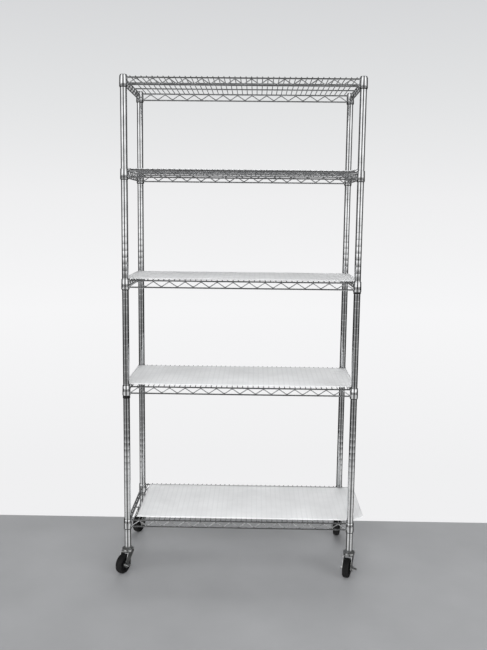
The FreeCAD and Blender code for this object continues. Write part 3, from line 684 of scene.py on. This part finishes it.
class RACK_OT_post_caps(bpy.types.Operator):
    """Build the four moulded end caps of the posts"""
    bl_idname = "rack.post_caps"
    bl_label = "Post caps"

    def execute(self, context):
        low, high = box_of("post_top_caps")
        reach = high.x - SPAN_X / 2
        plug = reach - TUBE_WALL - 0.3 * MM
        profile = [(plug / 2, low.z - high.z), (plug, low.z - high.z), (plug, -CAP_FLANGE)]
        profile += [(reach - inset * MM, -drop * MM) for inset, drop in CAP_SECTION]
        profile += [(0.1 * MM, 0)]
        bm = bmesh.new()
        for corner in CORNERS:
            lathe(bm, profile, Matrix.Translation((*POST_AXIS[corner], high.z)))
        face_outward(bm)
        obj = new_object("moulded_post_caps", mesh_from("Post caps", bm))
        finish_piece(obj, RACK, BLACK_PLASTIC, "black_plastic", "post_top_caps")
        return {"FINISHED"}


# ---------------------------------------------------------------- shelves

# How far two welded wires sink into each other.
SET_DOWN = 0.5 * MM
# Rounds of fitting the bends between the rails; the height settles within a few.
CORNER_ROUNDS = 20
# How far a rail's end runs into the collar's slanting wall.
RAIL_LEAD = 1.0 * MM


def truss_mesh(name, span, waves):
    """One truss along X, with the middle of its top rail at the origin."""
    props = looks()
    clear = span - 2 * COLLAR_REACH
    contact = RAIL_RADIUS + props.zigzag_radius - SET_DOWN
    low, high = contact - TRUSS_HEIGHT, -contact
    step = clear / (2 * waves)
    # The outline's corners stand past the bends, by what a bend cuts off.
    half_corner = math.atan2(step, high - low)
    for _ in range(CORNER_ROUNDS):
        cut_off = props.bend_radius * (1 / math.sin(half_corner) - 1)
        half_corner = math.atan2(step, high - low + 2 * cut_off)
    end = clear / 2 + RAIL_LEAD
    weld = RAIL_RADIUS - SET_DOWN / 2
    return grown(name, bpy.data.node_groups["Wire truss"], {
        "Left end": (-end, 0.0, 0.0), "Right end": (end, 0.0, 0.0),
        "Drop": (0.0, 0.0, -TRUSS_HEIGHT), "Corners": 2 * waves + 1,
        "Wave start": (-clear / 2, 0.0, low - cut_off), "Wave step": (step, 0.0, 0.0),
        "Rise": high - low + 2 * cut_off, "Bend radius": props.bend_radius,
        "Rail radius": RAIL_RADIUS, "Wire radius": props.zigzag_radius,
        "Weld start": (-clear / 2, 0.0, weld - TRUSS_HEIGHT),
        "Weld rise": TRUSS_HEIGHT - 2 * weld,
        "Weld size": (3.2 * MM, 1.7 * MM, 1.0 * MM),
    })


def deck_mesh():
    """One deck, with the middle of the shelf's top rails at the origin."""
    props = looks()
    low, high = box_of("shelf_1_deck")
    radius, pitch = props.cross_radius, props.cross_pitch
    wire = high.z - RAIL_HEIGHT[1] - radius
    stringer = (high.z - low.z - 2 * radius + SET_DOWN) / 2
    under = low.z - RAIL_HEIGHT[1] + stringer
    return grown("Deck wires", bpy.data.node_groups["Shelf deck"], {
        "Wires": props.cross_wires, "Pitch": (pitch, 0.0, 0.0),
        "First wire": (-pitch * (props.cross_wires - 1) / 2, 0.0, wire),
        "Front end": (0.0, low.y, 0.0), "Back end": (0.0, high.y, 0.0),
        "Wire radius": radius, "Stringer start": (low.x, 0.0, under),
        "Stringer end": (high.x, 0.0, under), "Stringer radius": stringer,
        "Across": (0.0, props.stringer_offset, 0.0), "Rail offset": (0.0, SPAN_Y / 2, 0.0),
        "Weld size": (1.9 * MM, 2.4 * MM, 1.9 * MM),
    })


class RACK_OT_shelf_wires(bpy.types.Operator):
    """Build the trusses and decks of the five shelves"""
    bl_idname = "rack.shelf_wires"
    bl_label = "Shelf wires"

    def execute(self, context):
        truss_tree()
        deck_tree()
        waves = looks().zigzag_waves
        long_truss = truss_mesh("Long truss", SPAN_X, waves)
        short_truss = truss_mesh("Short truss", SPAN_Y, round(waves * SPAN_Y / SPAN_X))
        deck = deck_mesh()
        sides = (
            (long_truss, (0, -SPAN_Y / 2), 0), (long_truss, (0, SPAN_Y / 2), 180),
            (short_truss, (-SPAN_X / 2, 0), 90), (short_truss, (SPAN_X / 2, 0), -90),
        )
        for level in LEVELS:
            trusses = bmesh.new()
            for mesh, place, turn in sides:
                add_mesh(trusses, mesh, Matrix.Translation((*place, RAIL_HEIGHT[level]))
                         @ Matrix.Rotation(math.radians(turn), 4, "Z"))
            wires = bmesh.new()
            add_mesh(wires, deck, Matrix.Translation((0, 0, RAIL_HEIGHT[level])))
            for part, bm in (("trusses", trusses), ("deck", wires)):
                obj = new_object(f"shelf_{level}_wire_{part}", mesh_from("Shelf wires", bm, 60))
                finish_piece(obj, RACK, WIRE_CHROME, "chrome_wire", f"shelf_{level}_{part}")
        return {"FINISHED"}


# A collar's rolled lip, from its outside: distance inwards, distance from its end.
LIP_SECTION = ((0, 0.7), (0.2, 0.3), (0.5, 0.05), (0.8, 0))


def put_in_order(parts, place_of):
    """Order vertices or faces by place, because Blender makes a sphere's in no fixed order."""
    rank = {part: i for i, part in enumerate(sorted(parts, key=place_of))}
    parts.sort(key=rank.get)


def weld_bead(bm, place, along):
    """A flattened bead of weld where a rail runs into a collar."""
    size = Vector((1, 1, 1)) * RAIL_RADIUS * 1.25
    size -= Vector([abs(part) for part in along]) * RAIL_RADIUS * 0.6
    bmesh.ops.create_uvsphere(bm, u_segments=14, v_segments=8, radius=1,
                              matrix=Matrix.Translation(place) @ Matrix.Diagonal((*size, 1)))


class RACK_OT_collars(bpy.types.Operator):
    """Build the tapered corner collars with their rolled lips and weld beads"""
    bl_idname = "rack.collars"
    bl_label = "Corner collars"

    def execute(self, context):
        foot, top = COLLAR_REACH, COLLAR_REACH - COLLAR_TAPER
        profile = [(foot - inset * MM, COLLAR_FOOT + end * MM) for inset, end in LIP_SECTION]
        profile = [(foot - COLLAR_WALL, COLLAR_FOOT), *reversed(profile)]
        profile += [(top - inset * MM, COLLAR_TOP - end * MM) for inset, end in LIP_SECTION]
        profile += [(top - COLLAR_WALL, COLLAR_TOP)]
        slant = COLLAR_TAPER / (COLLAR_TOP - COLLAR_FOOT)
        for level in LEVELS:
            bm = bmesh.new()
            for corner in CORNERS:
                axis = Vector((*POST_AXIS[corner], RAIL_HEIGHT[level]))
                lathe(bm, profile, Matrix.Translation(axis), ends="joined")
            face_outward(bm)
            for corner in CORNERS:
                axis = Vector((*POST_AXIS[corner], RAIL_HEIGHT[level]))
                for along in (Vector((-math.copysign(1, axis.x), 0, 0)),
                              Vector((0, -math.copysign(1, axis.y), 0))):
                    for drop in (0, TRUSS_HEIGHT):
                        reach = top + slant * (COLLAR_TOP + drop)
                        weld_bead(bm, axis + along * reach - Vector((0, 0, drop)), along)
            put_in_order(bm.verts, lambda vert: vert.co[:])
            put_in_order(bm.faces, lambda face: face.calc_center_median()[:])
            obj = new_object(f"shelf_{level}_welded_collars", mesh_from("Collars", bm))
            finish_piece(obj, RACK, COLLAR_CHROME, "chrome_wire",
                         f"shelf_{level}_corner_collars")
        return {"FINISHED"}


SLEEVE_BORE = 12.65 * MM
SLEEVE_DRAFT = 0.1 * MM
# The slits between a pair's two halves: their width and their places round the post, in degrees.
SLIT_WIDTH = 7.5
SLITS_AT = (135, 315)
# A pair that was never driven home, by level.
LOW_SLEEVES = {3: "front_right", 4: "front_left"}


class RACK_OT_sleeves(bpy.types.Operator):
    """Build the split black sleeves that wedge the collars on the posts"""
    bl_idname = "rack.sleeves"
    bl_label = "Split sleeves"

    def execute(self, context):
        low, high = box_of("shelf_1_sleeves")
        foot, top = low.z - RAIL_HEIGHT[1], high.z - RAIL_HEIGHT[1]
        reach = high.x - SPAN_X / 2
        # The sleeve's outside, from its foot: a blunt lip, a shallow waist, then the wedge.
        outside = [
            (reach - 0.35 * MM, foot), (reach, foot + 0.4 * MM), (reach, foot + 1.4 * MM),
            (reach - 0.3 * MM, foot + 1.9 * MM), (reach - 0.3 * MM, foot + 2.7 * MM),
            (COLLAR_REACH - COLLAR_WALL - 0.1 * MM, foot + 3 * MM),
            (COLLAR_REACH - COLLAR_TAPER - COLLAR_WALL - 0.1 * MM, top - 0.3 * MM),
            (SLEEVE_BORE + 0.45 * MM, top),
        ]
        profile = [(SLEEVE_BORE + SLEEVE_DRAFT, foot), *outside, (SLEEVE_BORE, top)]
        for level in LEVELS:
            # A low pair's hang shows in the frame's box.
            hang = RAIL_HEIGHT[level] + foot - box_of(f"shelf_{level}_sleeves")[0].z
            bm = bmesh.new()
            for corner in CORNERS:
                drop = hang if corner == LOW_SLEEVES.get(level) else 0
                for slit in SLITS_AT:
                    place = (
                        Matrix.Translation((*POST_AXIS[corner], RAIL_HEIGHT[level] - drop))
                        @ Matrix.Rotation(math.radians(slit + SLIT_WIDTH / 2), 4, "Z"))
                    lathe(bm, profile, place, sides=24, arc=math.radians(180 - SLIT_WIDTH))
            face_outward(bm)
            obj = new_object(f"shelf_{level}_split_sleeves", mesh_from("Sleeves", bm))
            finish_piece(obj, RACK, BLACK_PLASTIC, "black_plastic", f"shelf_{level}_sleeves")
        return {"FINISHED"}


# ---------------------------------------------------------------- liners

LINER_SIZE = (890 * MM, 374 * MM)
LINER_THICKNESS = 1.2 * MM
LINER_COLUMNS, LINER_ROWS = 120, 24
# The ripple's noise: its scale along and across a liner, and a step from liner to liner.
RIPPLE_ALONG, RIPPLE_ACROSS, RIPPLE_STEP = 6, 9, 7.3
FLAT = (0, 0)
# level: left curl, right curl as (length, rise), shift along X, turn about Z in degrees, and
# how much of the curls' rise is left at the back edge.
LINERS = {
    2: ((44 * MM, 10 * MM), (66 * MM, 16 * MM), 0, 0, 0.75),
    3: (FLAT, FLAT, 0, 0, 1),
    4: (FLAT, FLAT, 0, 0, 1),
    5: (FLAT, (90 * MM, 18 * MM), 44 * MM, -0.4, 0.35),
}


def curl_rise(beyond, curl):
    """How high a curled end stands at a distance beyond the place where it leaves the deck."""
    length, rise = curl
    if rise == 0 or beyond <= 0:
        return 0.0
    radius = (length ** 2 + rise ** 2) / (2 * rise)
    return radius - math.sqrt(radius ** 2 - min(beyond, length) ** 2)


def liner_surface(level):
    """The underside of a liner, as a grid centred on the origin."""
    left, right, _, _, back_share = LINERS[level]
    length, depth = LINER_SIZE
    bm = bmesh.new()
    bmesh.ops.create_grid(bm, x_segments=LINER_COLUMNS, y_segments=LINER_ROWS, size=0.5)
    for vert in bm.verts:
        x, y = vert.co.x * length, vert.co.y * depth
        towards_front = 0.5 - vert.co.y
        share = back_share + (1 - back_share) * towards_front
        rise = share * (curl_rise(x - length / 2 + right[0], right)
                        + curl_rise(-x - length / 2 + left[0], left))
        ripple = noise.noise(
            Vector((x * RIPPLE_ALONG, y * RIPPLE_ACROSS, level * RIPPLE_STEP)))
        vert.co = (x, y, rise + looks().liner_ripple * max(ripple, 0))
    return bm


class RACK_OT_liners(bpy.types.Operator):
    """Lay the four frosted liners on their decks"""
    bl_idname = "rack.liners"
    bl_label = "Shelf liners"

    def execute(self, context):
        for level, (_, _, shift, turn, _) in LINERS.items():
            node = f"shelf_{level}_liner"
            bm = liner_surface(level)
            place = (Matrix.Translation((shift, 0, box_of(node)[0].z))
                     @ Matrix.Rotation(math.radians(turn), 4, "Z"))
            bmesh.ops.transform(bm, matrix=place, verts=bm.verts)
            obj = new_object(f"shelf_{level}_frosted_liner", mesh_from("Liner", bm))
            solid = obj.modifiers.new("Sheet", "SOLIDIFY")
            solid.thickness = LINER_THICKNESS
            solid.offset = 1
            settle(obj)
            finish_piece(obj, RACK, FROSTED, "frosted_liner", node)
        return {"FINISHED"}


# ---------------------------------------------------------------- casters

def softened(name, node, width):
    """A copy of a frame part's mesh, with its edges rounded over."""
    bm = bmesh.new()
    bm.from_mesh(frame["nodes"][node].data)
    bmesh.ops.remove_doubles(bm, verts=bm.verts, dist=0.001 * MM)
    bmesh.ops.dissolve_limit(bm, angle_limit=math.radians(2), verts=bm.verts, edges=bm.edges)
    obj = new_object(name, mesh_from(name, bm))
    rounding = obj.modifiers.new("Edge radius", "BEVEL")
    rounding.width = width
    rounding.segments = 3
    rounding.limit_method = "ANGLE"
    rounding.angle_limit = math.radians(40)
    rounding.use_clamp_overlap = True
    settle(obj)
    bm = bmesh.new()
    bm.from_mesh(obj.data)
    face_outward(bm)
    obj.data = mesh_from(name, bm)
    return obj


STEM_RADIUS = 5 * MM
RACE_FLAT = 2 * MM
RACE_HEIGHT = 8 * MM
FLANGE_HEIGHT = 3 * MM
RIVET_RADIUS = 8.5 * MM
RIVET_HEIGHT = 2 * MM


class RACK_OT_caster_stems(bpy.types.Operator):
    """Turn the caster stems with their flanges, race caps and king pins"""
    bl_idname = "rack.caster_stems"
    bl_label = "Caster stems"

    def execute(self, context):
        for corner in CORNERS:
            node = f"caster_{corner}_stem"
            low, high = box_of(node)
            race_radius = (high.x - low.x) / 2
            flange = POST_FOOT - FLANGE_HEIGHT
            race = flange - RACE_HEIGHT
            stem = [
                (0.3 * MM, high.z), (STEM_RADIUS - 1 * MM, high.z),
                (STEM_RADIUS, high.z - 1 * MM), (STEM_RADIUS, POST_FOOT),
            ]
            race_cap = [
                (POST_RADIUS - 0.3 * MM, POST_FOOT), (POST_RADIUS, POST_FOOT - 0.3 * MM),
                (POST_RADIUS, flange), (POST_RADIUS + RACE_FLAT - 0.5 * MM, flange),
                (POST_RADIUS + RACE_FLAT + 0.4 * MM, flange - 0.4 * MM),
                (race_radius - 1.6 * MM, race + 2.2 * MM),
                (race_radius - 0.5 * MM, race + 1.6 * MM),
                (race_radius, race + 0.9 * MM), (race_radius, race + 0.3 * MM),
                (race_radius - 0.3 * MM, race),
            ]
            king_pin = [
                (STEM_RADIUS, race), (STEM_RADIUS, low.z + RIVET_HEIGHT),
                (RIVET_RADIUS - 0.4 * MM, low.z + RIVET_HEIGHT),
                (RIVET_RADIUS, low.z + RIVET_HEIGHT - 0.4 * MM),
                (RIVET_RADIUS - 0.6 * MM, low.z + 0.5 * MM),
                (RIVET_RADIUS / 2, low.z), (0.3 * MM, low.z),
            ]
            profile = stem + race_cap + king_pin
            bm = bmesh.new()
            lathe(bm, profile, Matrix.Translation((*POST_AXIS[corner], 0)))
            face_outward(bm)
            obj = new_object(f"turned_stem_{corner}", mesh_from("Caster stem", bm))
            finish_piece(obj, RACK, ZINC, "zinc_steel", node)
        return {"FINISHED"}


class RACK_OT_caster_forks(bpy.types.Operator):
    """Build the pressed forks, axle bolts and brake pedals"""
    bl_idname = "rack.caster_forks"
    bl_label = "Caster forks and pedals"

    def execute(self, context):
        for corner in CORNERS:
            pieces = [("fork", f"{corner}_fork", 0.8 * MM),
                      ("axle_bolt", f"{corner}_fork", 0.5 * MM)]
            if corner.startswith("front"):
                pieces.append(("brake_pedal", f"{corner}_pedal", 0.6 * MM))
            for part, body, rounding in pieces:
                node = f"caster_{corner}_{part}"
                obj = softened(f"pressed_{part}_{corner}", node, rounding)
                finish_piece(obj, body, ZINC, "zinc_steel", node)
        return {"FINISHED"}


WHEEL_HALF = 12 * MM
TYRE_DEPTH = 9 * MM
TYRE_SHOULDER = 6 * MM
SHOULDER_STEPS = 6
MOULD_LINE = 0.15 * MM
RIM_HALF = 11 * MM
RIM_WALL = 4 * MM
WEB_HALF = 6 * MM
BOSS_RADIUS = 9 * MM
BOSS_HALF = 14.5 * MM
WHEEL_BORE = 4.25 * MM


def tyre_profile(radius):
    """Half a tyre's section and its mirror: flat sides, round shoulders, a mould line."""
    tread = radius - MOULD_LINE
    half = [(radius - TYRE_DEPTH, WHEEL_HALF - 0.4 * MM),
            (radius - TYRE_DEPTH + 0.4 * MM, WHEEL_HALF)]
    for i in range(SHOULDER_STEPS + 1):
        angle = math.radians(90 / SHOULDER_STEPS * i)
        half.append((tread - TYRE_SHOULDER * (1 - math.sin(angle)),
                     WHEEL_HALF - TYRE_SHOULDER * (1 - math.cos(angle))))
    half += [(tread, 0.6 * MM), (radius, 0.3 * MM)]
    return half + [(r, -x) for r, x in reversed(half)]


def centre_profile(radius):
    """Section of a wheel centre: bore, boss, web and rim."""
    rim = radius - TYRE_DEPTH
    half = [
        (rim, RIM_HALF - 0.4 * MM), (rim - 0.4 * MM, RIM_HALF),
        (rim - RIM_WALL + 0.4 * MM, RIM_HALF), (rim - RIM_WALL, RIM_HALF - 0.4 * MM),
        (rim - RIM_WALL - 1 * MM, WEB_HALF + 0.5 * MM), (rim - RIM_WALL - 1.6 * MM, WEB_HALF),
        (BOSS_RADIUS + 0.6 * MM, WEB_HALF), (BOSS_RADIUS, WEB_HALF + 0.6 * MM),
        (BOSS_RADIUS, BOSS_HALF - 0.6 * MM), (BOSS_RADIUS - 0.6 * MM, BOSS_HALF),
        (WHEEL_BORE, BOSS_HALF),
    ]
    return half + [(r, -x) for r, x in reversed(half)]


def rib(radius):
    """One thin rib on each side of the web, from the boss to the rim, along X."""
    inner, outer = BOSS_RADIUS - 0.5 * MM, radius - TYRE_DEPTH - RIM_WALL + 0.3 * MM
    bm = bmesh.new()
    for side in (-1, 1):
        middle = Vector(((inner + outer) / 2, 0, side * (WEB_HALF + 1.3 * MM)))
        size = Matrix.Diagonal((outer - inner, 2 * MM, 3 * MM, 1))
        made = bmesh.ops.create_cube(bm, size=1, matrix=Matrix.Translation(middle) @ size)
        top = [edge for edge in {e for v in made["verts"] for e in v.link_edges}
               if all(v.co.z * side > WEB_HALF + 2 * MM for v in edge.verts)]
        bmesh.ops.bevel(bm, geom=top, offset=0.4 * MM, segments=2, affect="EDGES")
    return mesh_from("Wheel rib", bm)


class RACK_OT_caster_wheels(bpy.types.Operator):
    """Turn the wheel centres with their ribs, and the tyres"""
    bl_idname = "rack.caster_wheels"
    bl_label = "Caster wheels"

    def execute(self, context):
        radius = box_of("caster_front_left_tyre")[1].z / 2
        ribs = grown("Wheel ribs", repeat_round_tree(), {"Ribs": looks().wheel_ribs},
                     rib(radius))
        for corner in CORNERS:
            spin = joint(f"{corner}_wheel_spin")
            turn = Vector(spin["axis"]).to_track_quat("Z", "Y").to_matrix().to_4x4()
            place = Matrix.Translation(spin["pos_m"]) @ turn
            tyre = bmesh.new()
            lathe(tyre, tyre_profile(radius), place, sides=64, ends="joined")
            face_outward(tyre)
            obj = new_object(f"moulded_tyre_{corner}", mesh_from("Tyre", tyre))
            finish_piece(obj, f"{corner}_wheel", RUBBER, "black_rubber",
                         f"caster_{corner}_tyre")
            centre = bmesh.new()
            lathe(centre, centre_profile(radius), place, sides=64, ends="joined")
            face_outward(centre)
            add_mesh(centre, ribs, place)
            obj = new_object(f"ribbed_wheel_{corner}", mesh_from("Wheel centre", centre))
            finish_piece(obj, f"{corner}_wheel", BLACK_PLASTIC, "black_plastic",
                         f"caster_{corner}_wheel_centre")
        return {"FINISHED"}


class RACK_OT_hidden_steel(bpy.types.Operator):
    """Finish the studs and inserts inside the posts"""
    bl_idname = "rack.hidden_steel"
    bl_label = "Studs and inserts"

    def execute(self, context):
        for node in ("post_joining_studs", "post_caster_inserts"):
            frame["nodes"][node].data.materials.clear()
            frame["nodes"][node].data.materials.append(bpy.data.materials[ZINC])
        return {"FINISHED"}


# ---------------------------------------------------------------- stage

# The room as the chrome sees it. Each part's brightness goes by the turn away from the front,
# in half turns, or is one number.
ROOM_STRENGTH = 1.5
UPPER_ROOM = ((0.0, 0.06), (0.09, 0.06), (0.13, 1.0), (0.37, 1.0), (0.43, 0.09), (0.85, 0.09),
              (0.93, 0.12), (1.0, 0.12))
LOWER_ROOM = ((0.0, 0.02), (0.09, 0.02), (0.13, 0.3), (0.37, 0.3), (0.43, 0.02),
              (0.85, 0.02), (0.93, 0.06), (1.0, 0.06))
DEEP_ROOM = ((0.0, 0.12), (0.12, 0.2), (0.28, 0.8), (0.42, 0.5), (0.58, 0.05), (1.0, 0.03))
HIGH_ROOM, TOP_ROOM = 0.06, 0.09
# The sines of elevation between which each part takes over from the lower room.
UPPER_FROM, DEEP_FROM = (-0.08, -0.04), (-0.275, -0.31)
HIGH_FROM, TOP_FROM = (0.66, 0.74), (0.84, 0.9)
# The pale backdrop behind the rack, by height of the view: sine of elevation, colour. It is
# painted light, palest a little below the eye and darker towards the top, as light falls off
# across the wall.
BACKDROP_PAINTED_LIGHT = ((-0.3, "#f0f0f1"), (-0.12, "#f6f6f7"), (0.02, "#efeff0"), (0.14, "#e2e3e4"),
            (0.28, "#d3d4d6"))
# The floor's edges: past the back posts, in front of the rack and to each side.
FLOOR_BEHIND, FLOOR_FRONT, FLOOR_SIDE = 0.13, 4.0, 3.0
# name, place, side of the square, power
LAMPS = (
    ("Ceiling panel", (0.0, -0.8, 3.8), 2.4, 30),
    ("Front softbox", (-0.5, -5.0, 2.3), 2.6, 190),
    ("Back panel", (0.2, 3.4, 2.2), 2.6, 95),
    ("Right softbox", (2.6, -2.2, 1.8), 1.2, 12),
)
LAMP_AIM = (0.0, 0.0, 1.0)
CAMERA_LENS = 43.63
CAMERA_PLACE = (0.0535, -3.1428, 1.3987)
CAMERA_PITCH, CAMERA_YAW, CAMERA_ROLL = -0.14122, -0.01458, 0.0112


class RACK_OT_stage(bpy.types.Operator):
    """Set up the floor, the soft light and the camera"""
    bl_idname = "rack.stage"
    bl_label = "Stage"

    def execute(self, context):
        self.floor()
        self.room()
        self.lights()
        self.camera()
        return {"FINISHED"}

    def floor(self):
        """A plain pale floor, unseen by the chrome, which sees the room in its place."""
        back, front, side = SPAN_Y / 2 + FLOOR_BEHIND, -FLOOR_FRONT, FLOOR_SIDE
        bm = bmesh.new()
        corners = ((-side, front), (side, front), (side, back), (-side, back))
        bm.faces.new([bm.verts.new((x, y, 0)) for x, y in corners])
        floor = new_object("pale_floor", mesh_from("Floor", bm))
        tree, shader, place = new_material("Painted screed floor")
        cloud = add_node(tree, "ShaderNodeTexNoise", {"Vector": place, "Scale": 3, "Detail": 6})
        colour = add_node(tree, "ShaderNodeValToRGB", {"Fac": cloud}, stops=[
            (0.3, linear("#a0a1a3")), (0.7, linear("#a9aaac"))])
        tree.links.new(colour.outputs[0], shader.inputs["Base Color"])
        shader.inputs["Roughness"].default_value = 0.6
        floor.data.materials.append(bpy.data.materials["Painted screed floor"])
        floor.visible_glossy = False

    def room(self):
        """A pale backdrop to the eye, with painted light that falls off darker towards the top,
        and a room of light and dark walls to the chrome.
        """
        world = bpy.data.worlds.new("Plain room")
        bpy.context.scene.world = world
        world.use_nodes = True
        tree = world.node_tree
        tree.nodes.clear()
        way = add_node(tree, "ShaderNodeTexCoord").outputs["Generated"]
        level = add_node(tree, "ShaderNodeVectorMath", {0: way, 1: (1, 1, 0)},
                         operation="MULTIPLY")
        heading = add_node(tree, "ShaderNodeVectorMath", {0: level}, operation="NORMALIZE")
        ahead = add_node(tree, "ShaderNodeVectorMath", {0: heading, 1: (0, -1, 0)},
                         operation="DOT_PRODUCT")
        turn = add_node(tree, "ShaderNodeMath", {0: ahead.outputs["Value"]},
                        operation="ARCCOSINE")
        share = add_node(tree, "ShaderNodeMath", {0: turn, 1: math.pi}, operation="DIVIDE")
        sine = add_node(tree, "ShaderNodeSeparateXYZ", {"Vector": way}).outputs["Z"]
        seen, upper, deep = (
            add_node(tree, "ShaderNodeValToRGB", {"Fac": share},
                     stops=[(place, grey(value)) for place, value in part])
            for part in (LOWER_ROOM, UPPER_ROOM, DEEP_ROOM)
        )
        for (start, end), other in (
            (UPPER_FROM, upper), (DEEP_FROM, deep),
            (HIGH_FROM, grey(HIGH_ROOM)), (TOP_FROM, grey(TOP_ROOM)),
        ):
            factor = add_node(tree, "ShaderNodeMapRange",
                              {"Value": sine, "From Min": start, "From Max": end})
            seen = add_node(tree, "ShaderNodeMix", {0: factor, 6: seen, 7: other},
                            data_type="RGBA").outputs[2]
        lamp = add_node(tree, "ShaderNodeBackground",
                        {"Color": seen, "Strength": ROOM_STRENGTH})
        low, high = BACKDROP_PAINTED_LIGHT[0][0], BACKDROP_PAINTED_LIGHT[-1][0]
        height = add_node(tree, "ShaderNodeMapRange",
                          {"Value": sine, "From Min": low, "From Max": high})
        # Painted light: the backdrop's colour goes by the height of the view, palest a little
        # below the eye and darker towards the top.
        pale = add_node(tree, "ShaderNodeValToRGB", {"Fac": height}, stops=[
            ((place - low) / (high - low), linear(code)) for place, code in BACKDROP_PAINTED_LIGHT])
        backdrop = add_node(tree, "ShaderNodeBackground", {"Color": pale})
        eye = add_node(tree, "ShaderNodeLightPath").outputs["Is Camera Ray"]
        mixed = add_node(tree, "ShaderNodeMixShader", {0: eye, 1: lamp, 2: backdrop})
        add_node(tree, "ShaderNodeOutputWorld", {"Surface": mixed})
        bpy.context.scene.view_settings.view_transform = "Standard"

    def lights(self):
        """Soft panels that light the liners and the floor; the chrome sees only the room."""
        for name, place, size, power in LAMPS:
            data = bpy.data.lights.new(name, "AREA")
            data.shape = "SQUARE"
            data.size = size
            data.energy = power
            lamp = bpy.data.objects.new(name, data)
            lamp.location = place
            lamp.rotation_mode = "QUATERNION"
            lamp.rotation_quaternion = (
                Vector(LAMP_AIM) - Vector(place)).to_track_quat("-Z", "Y")
            lamp.visible_glossy = False
            lamp.visible_camera = False
            bpy.context.scene.collection.objects.link(lamp)

    def camera(self):
        """Standing height, a little right of the middle, looking slightly down."""
        data = bpy.data.cameras.new("Camera")
        data.lens = CAMERA_LENS
        camera = bpy.data.objects.new("Camera", data)
        ahead = Vector((math.sin(CAMERA_YAW) * math.cos(CAMERA_PITCH),
                        math.cos(CAMERA_YAW) * math.cos(CAMERA_PITCH), math.sin(CAMERA_PITCH)))
        level = Vector((math.cos(CAMERA_YAW), -math.sin(CAMERA_YAW), 0))
        above = level.cross(ahead)
        right = level * math.cos(CAMERA_ROLL) + above * math.sin(CAMERA_ROLL)
        top = above * math.cos(CAMERA_ROLL) - level * math.sin(CAMERA_ROLL)
        turn = Matrix((right, top, -ahead)).transposed().to_4x4()
        camera.matrix_world = Matrix.Translation(CAMERA_PLACE) @ turn
        bpy.context.scene.collection.objects.link(camera)
        bpy.context.scene.camera = camera


# ---------------------------------------------------------------- panel and running

class RACK_PT_panel(bpy.types.Panel):
    """Lists the rack's pieces and the sizes and colours that can be changed"""
    bl_idname = "RACK_PT_panel"
    bl_label = "Wire shelving rack"
    bl_space_type = "VIEW_3D"
    bl_region_type = "UI"
    bl_category = "Rack"

    def draw(self, context):
        for name in RackLooks.__annotations__:
            self.layout.prop(looks(), name)
        for step in STEPS:
            self.layout.operator(step.bl_idname)


STEPS = (
    RACK_OT_materials, RACK_OT_stage, RACK_OT_posts, RACK_OT_post_caps, RACK_OT_shelf_wires,
    RACK_OT_collars, RACK_OT_sleeves, RACK_OT_liners, RACK_OT_caster_stems,
    RACK_OT_caster_forks, RACK_OT_caster_wheels, RACK_OT_hidden_steel,
)
CLASSES = (RackLooks, *STEPS, RACK_PT_panel)


def register():
    for cls in CLASSES:
        bpy.utils.register_class(cls)
    bpy.types.Scene.rack_looks = bpy.props.PointerProperty(type=RackLooks)


def unregister():
    del bpy.types.Scene.rack_looks
    for cls in reversed(CLASSES):
        bpy.utils.unregister_class(cls)


def main():
    register()
    bpy.ops.rack.materials()
    bpy.ops.rack.stage()
    bpy.ops.rack.posts()
    bpy.ops.rack.post_caps()
    bpy.ops.rack.shelf_wires()
    bpy.ops.rack.collars()
    bpy.ops.rack.sleeves()
    bpy.ops.rack.liners()
    bpy.ops.rack.caster_stems()
    bpy.ops.rack.caster_forks()
    bpy.ops.rack.caster_wheels()
    bpy.ops.rack.hidden_steel()


if __name__ == "__main__":
    main()
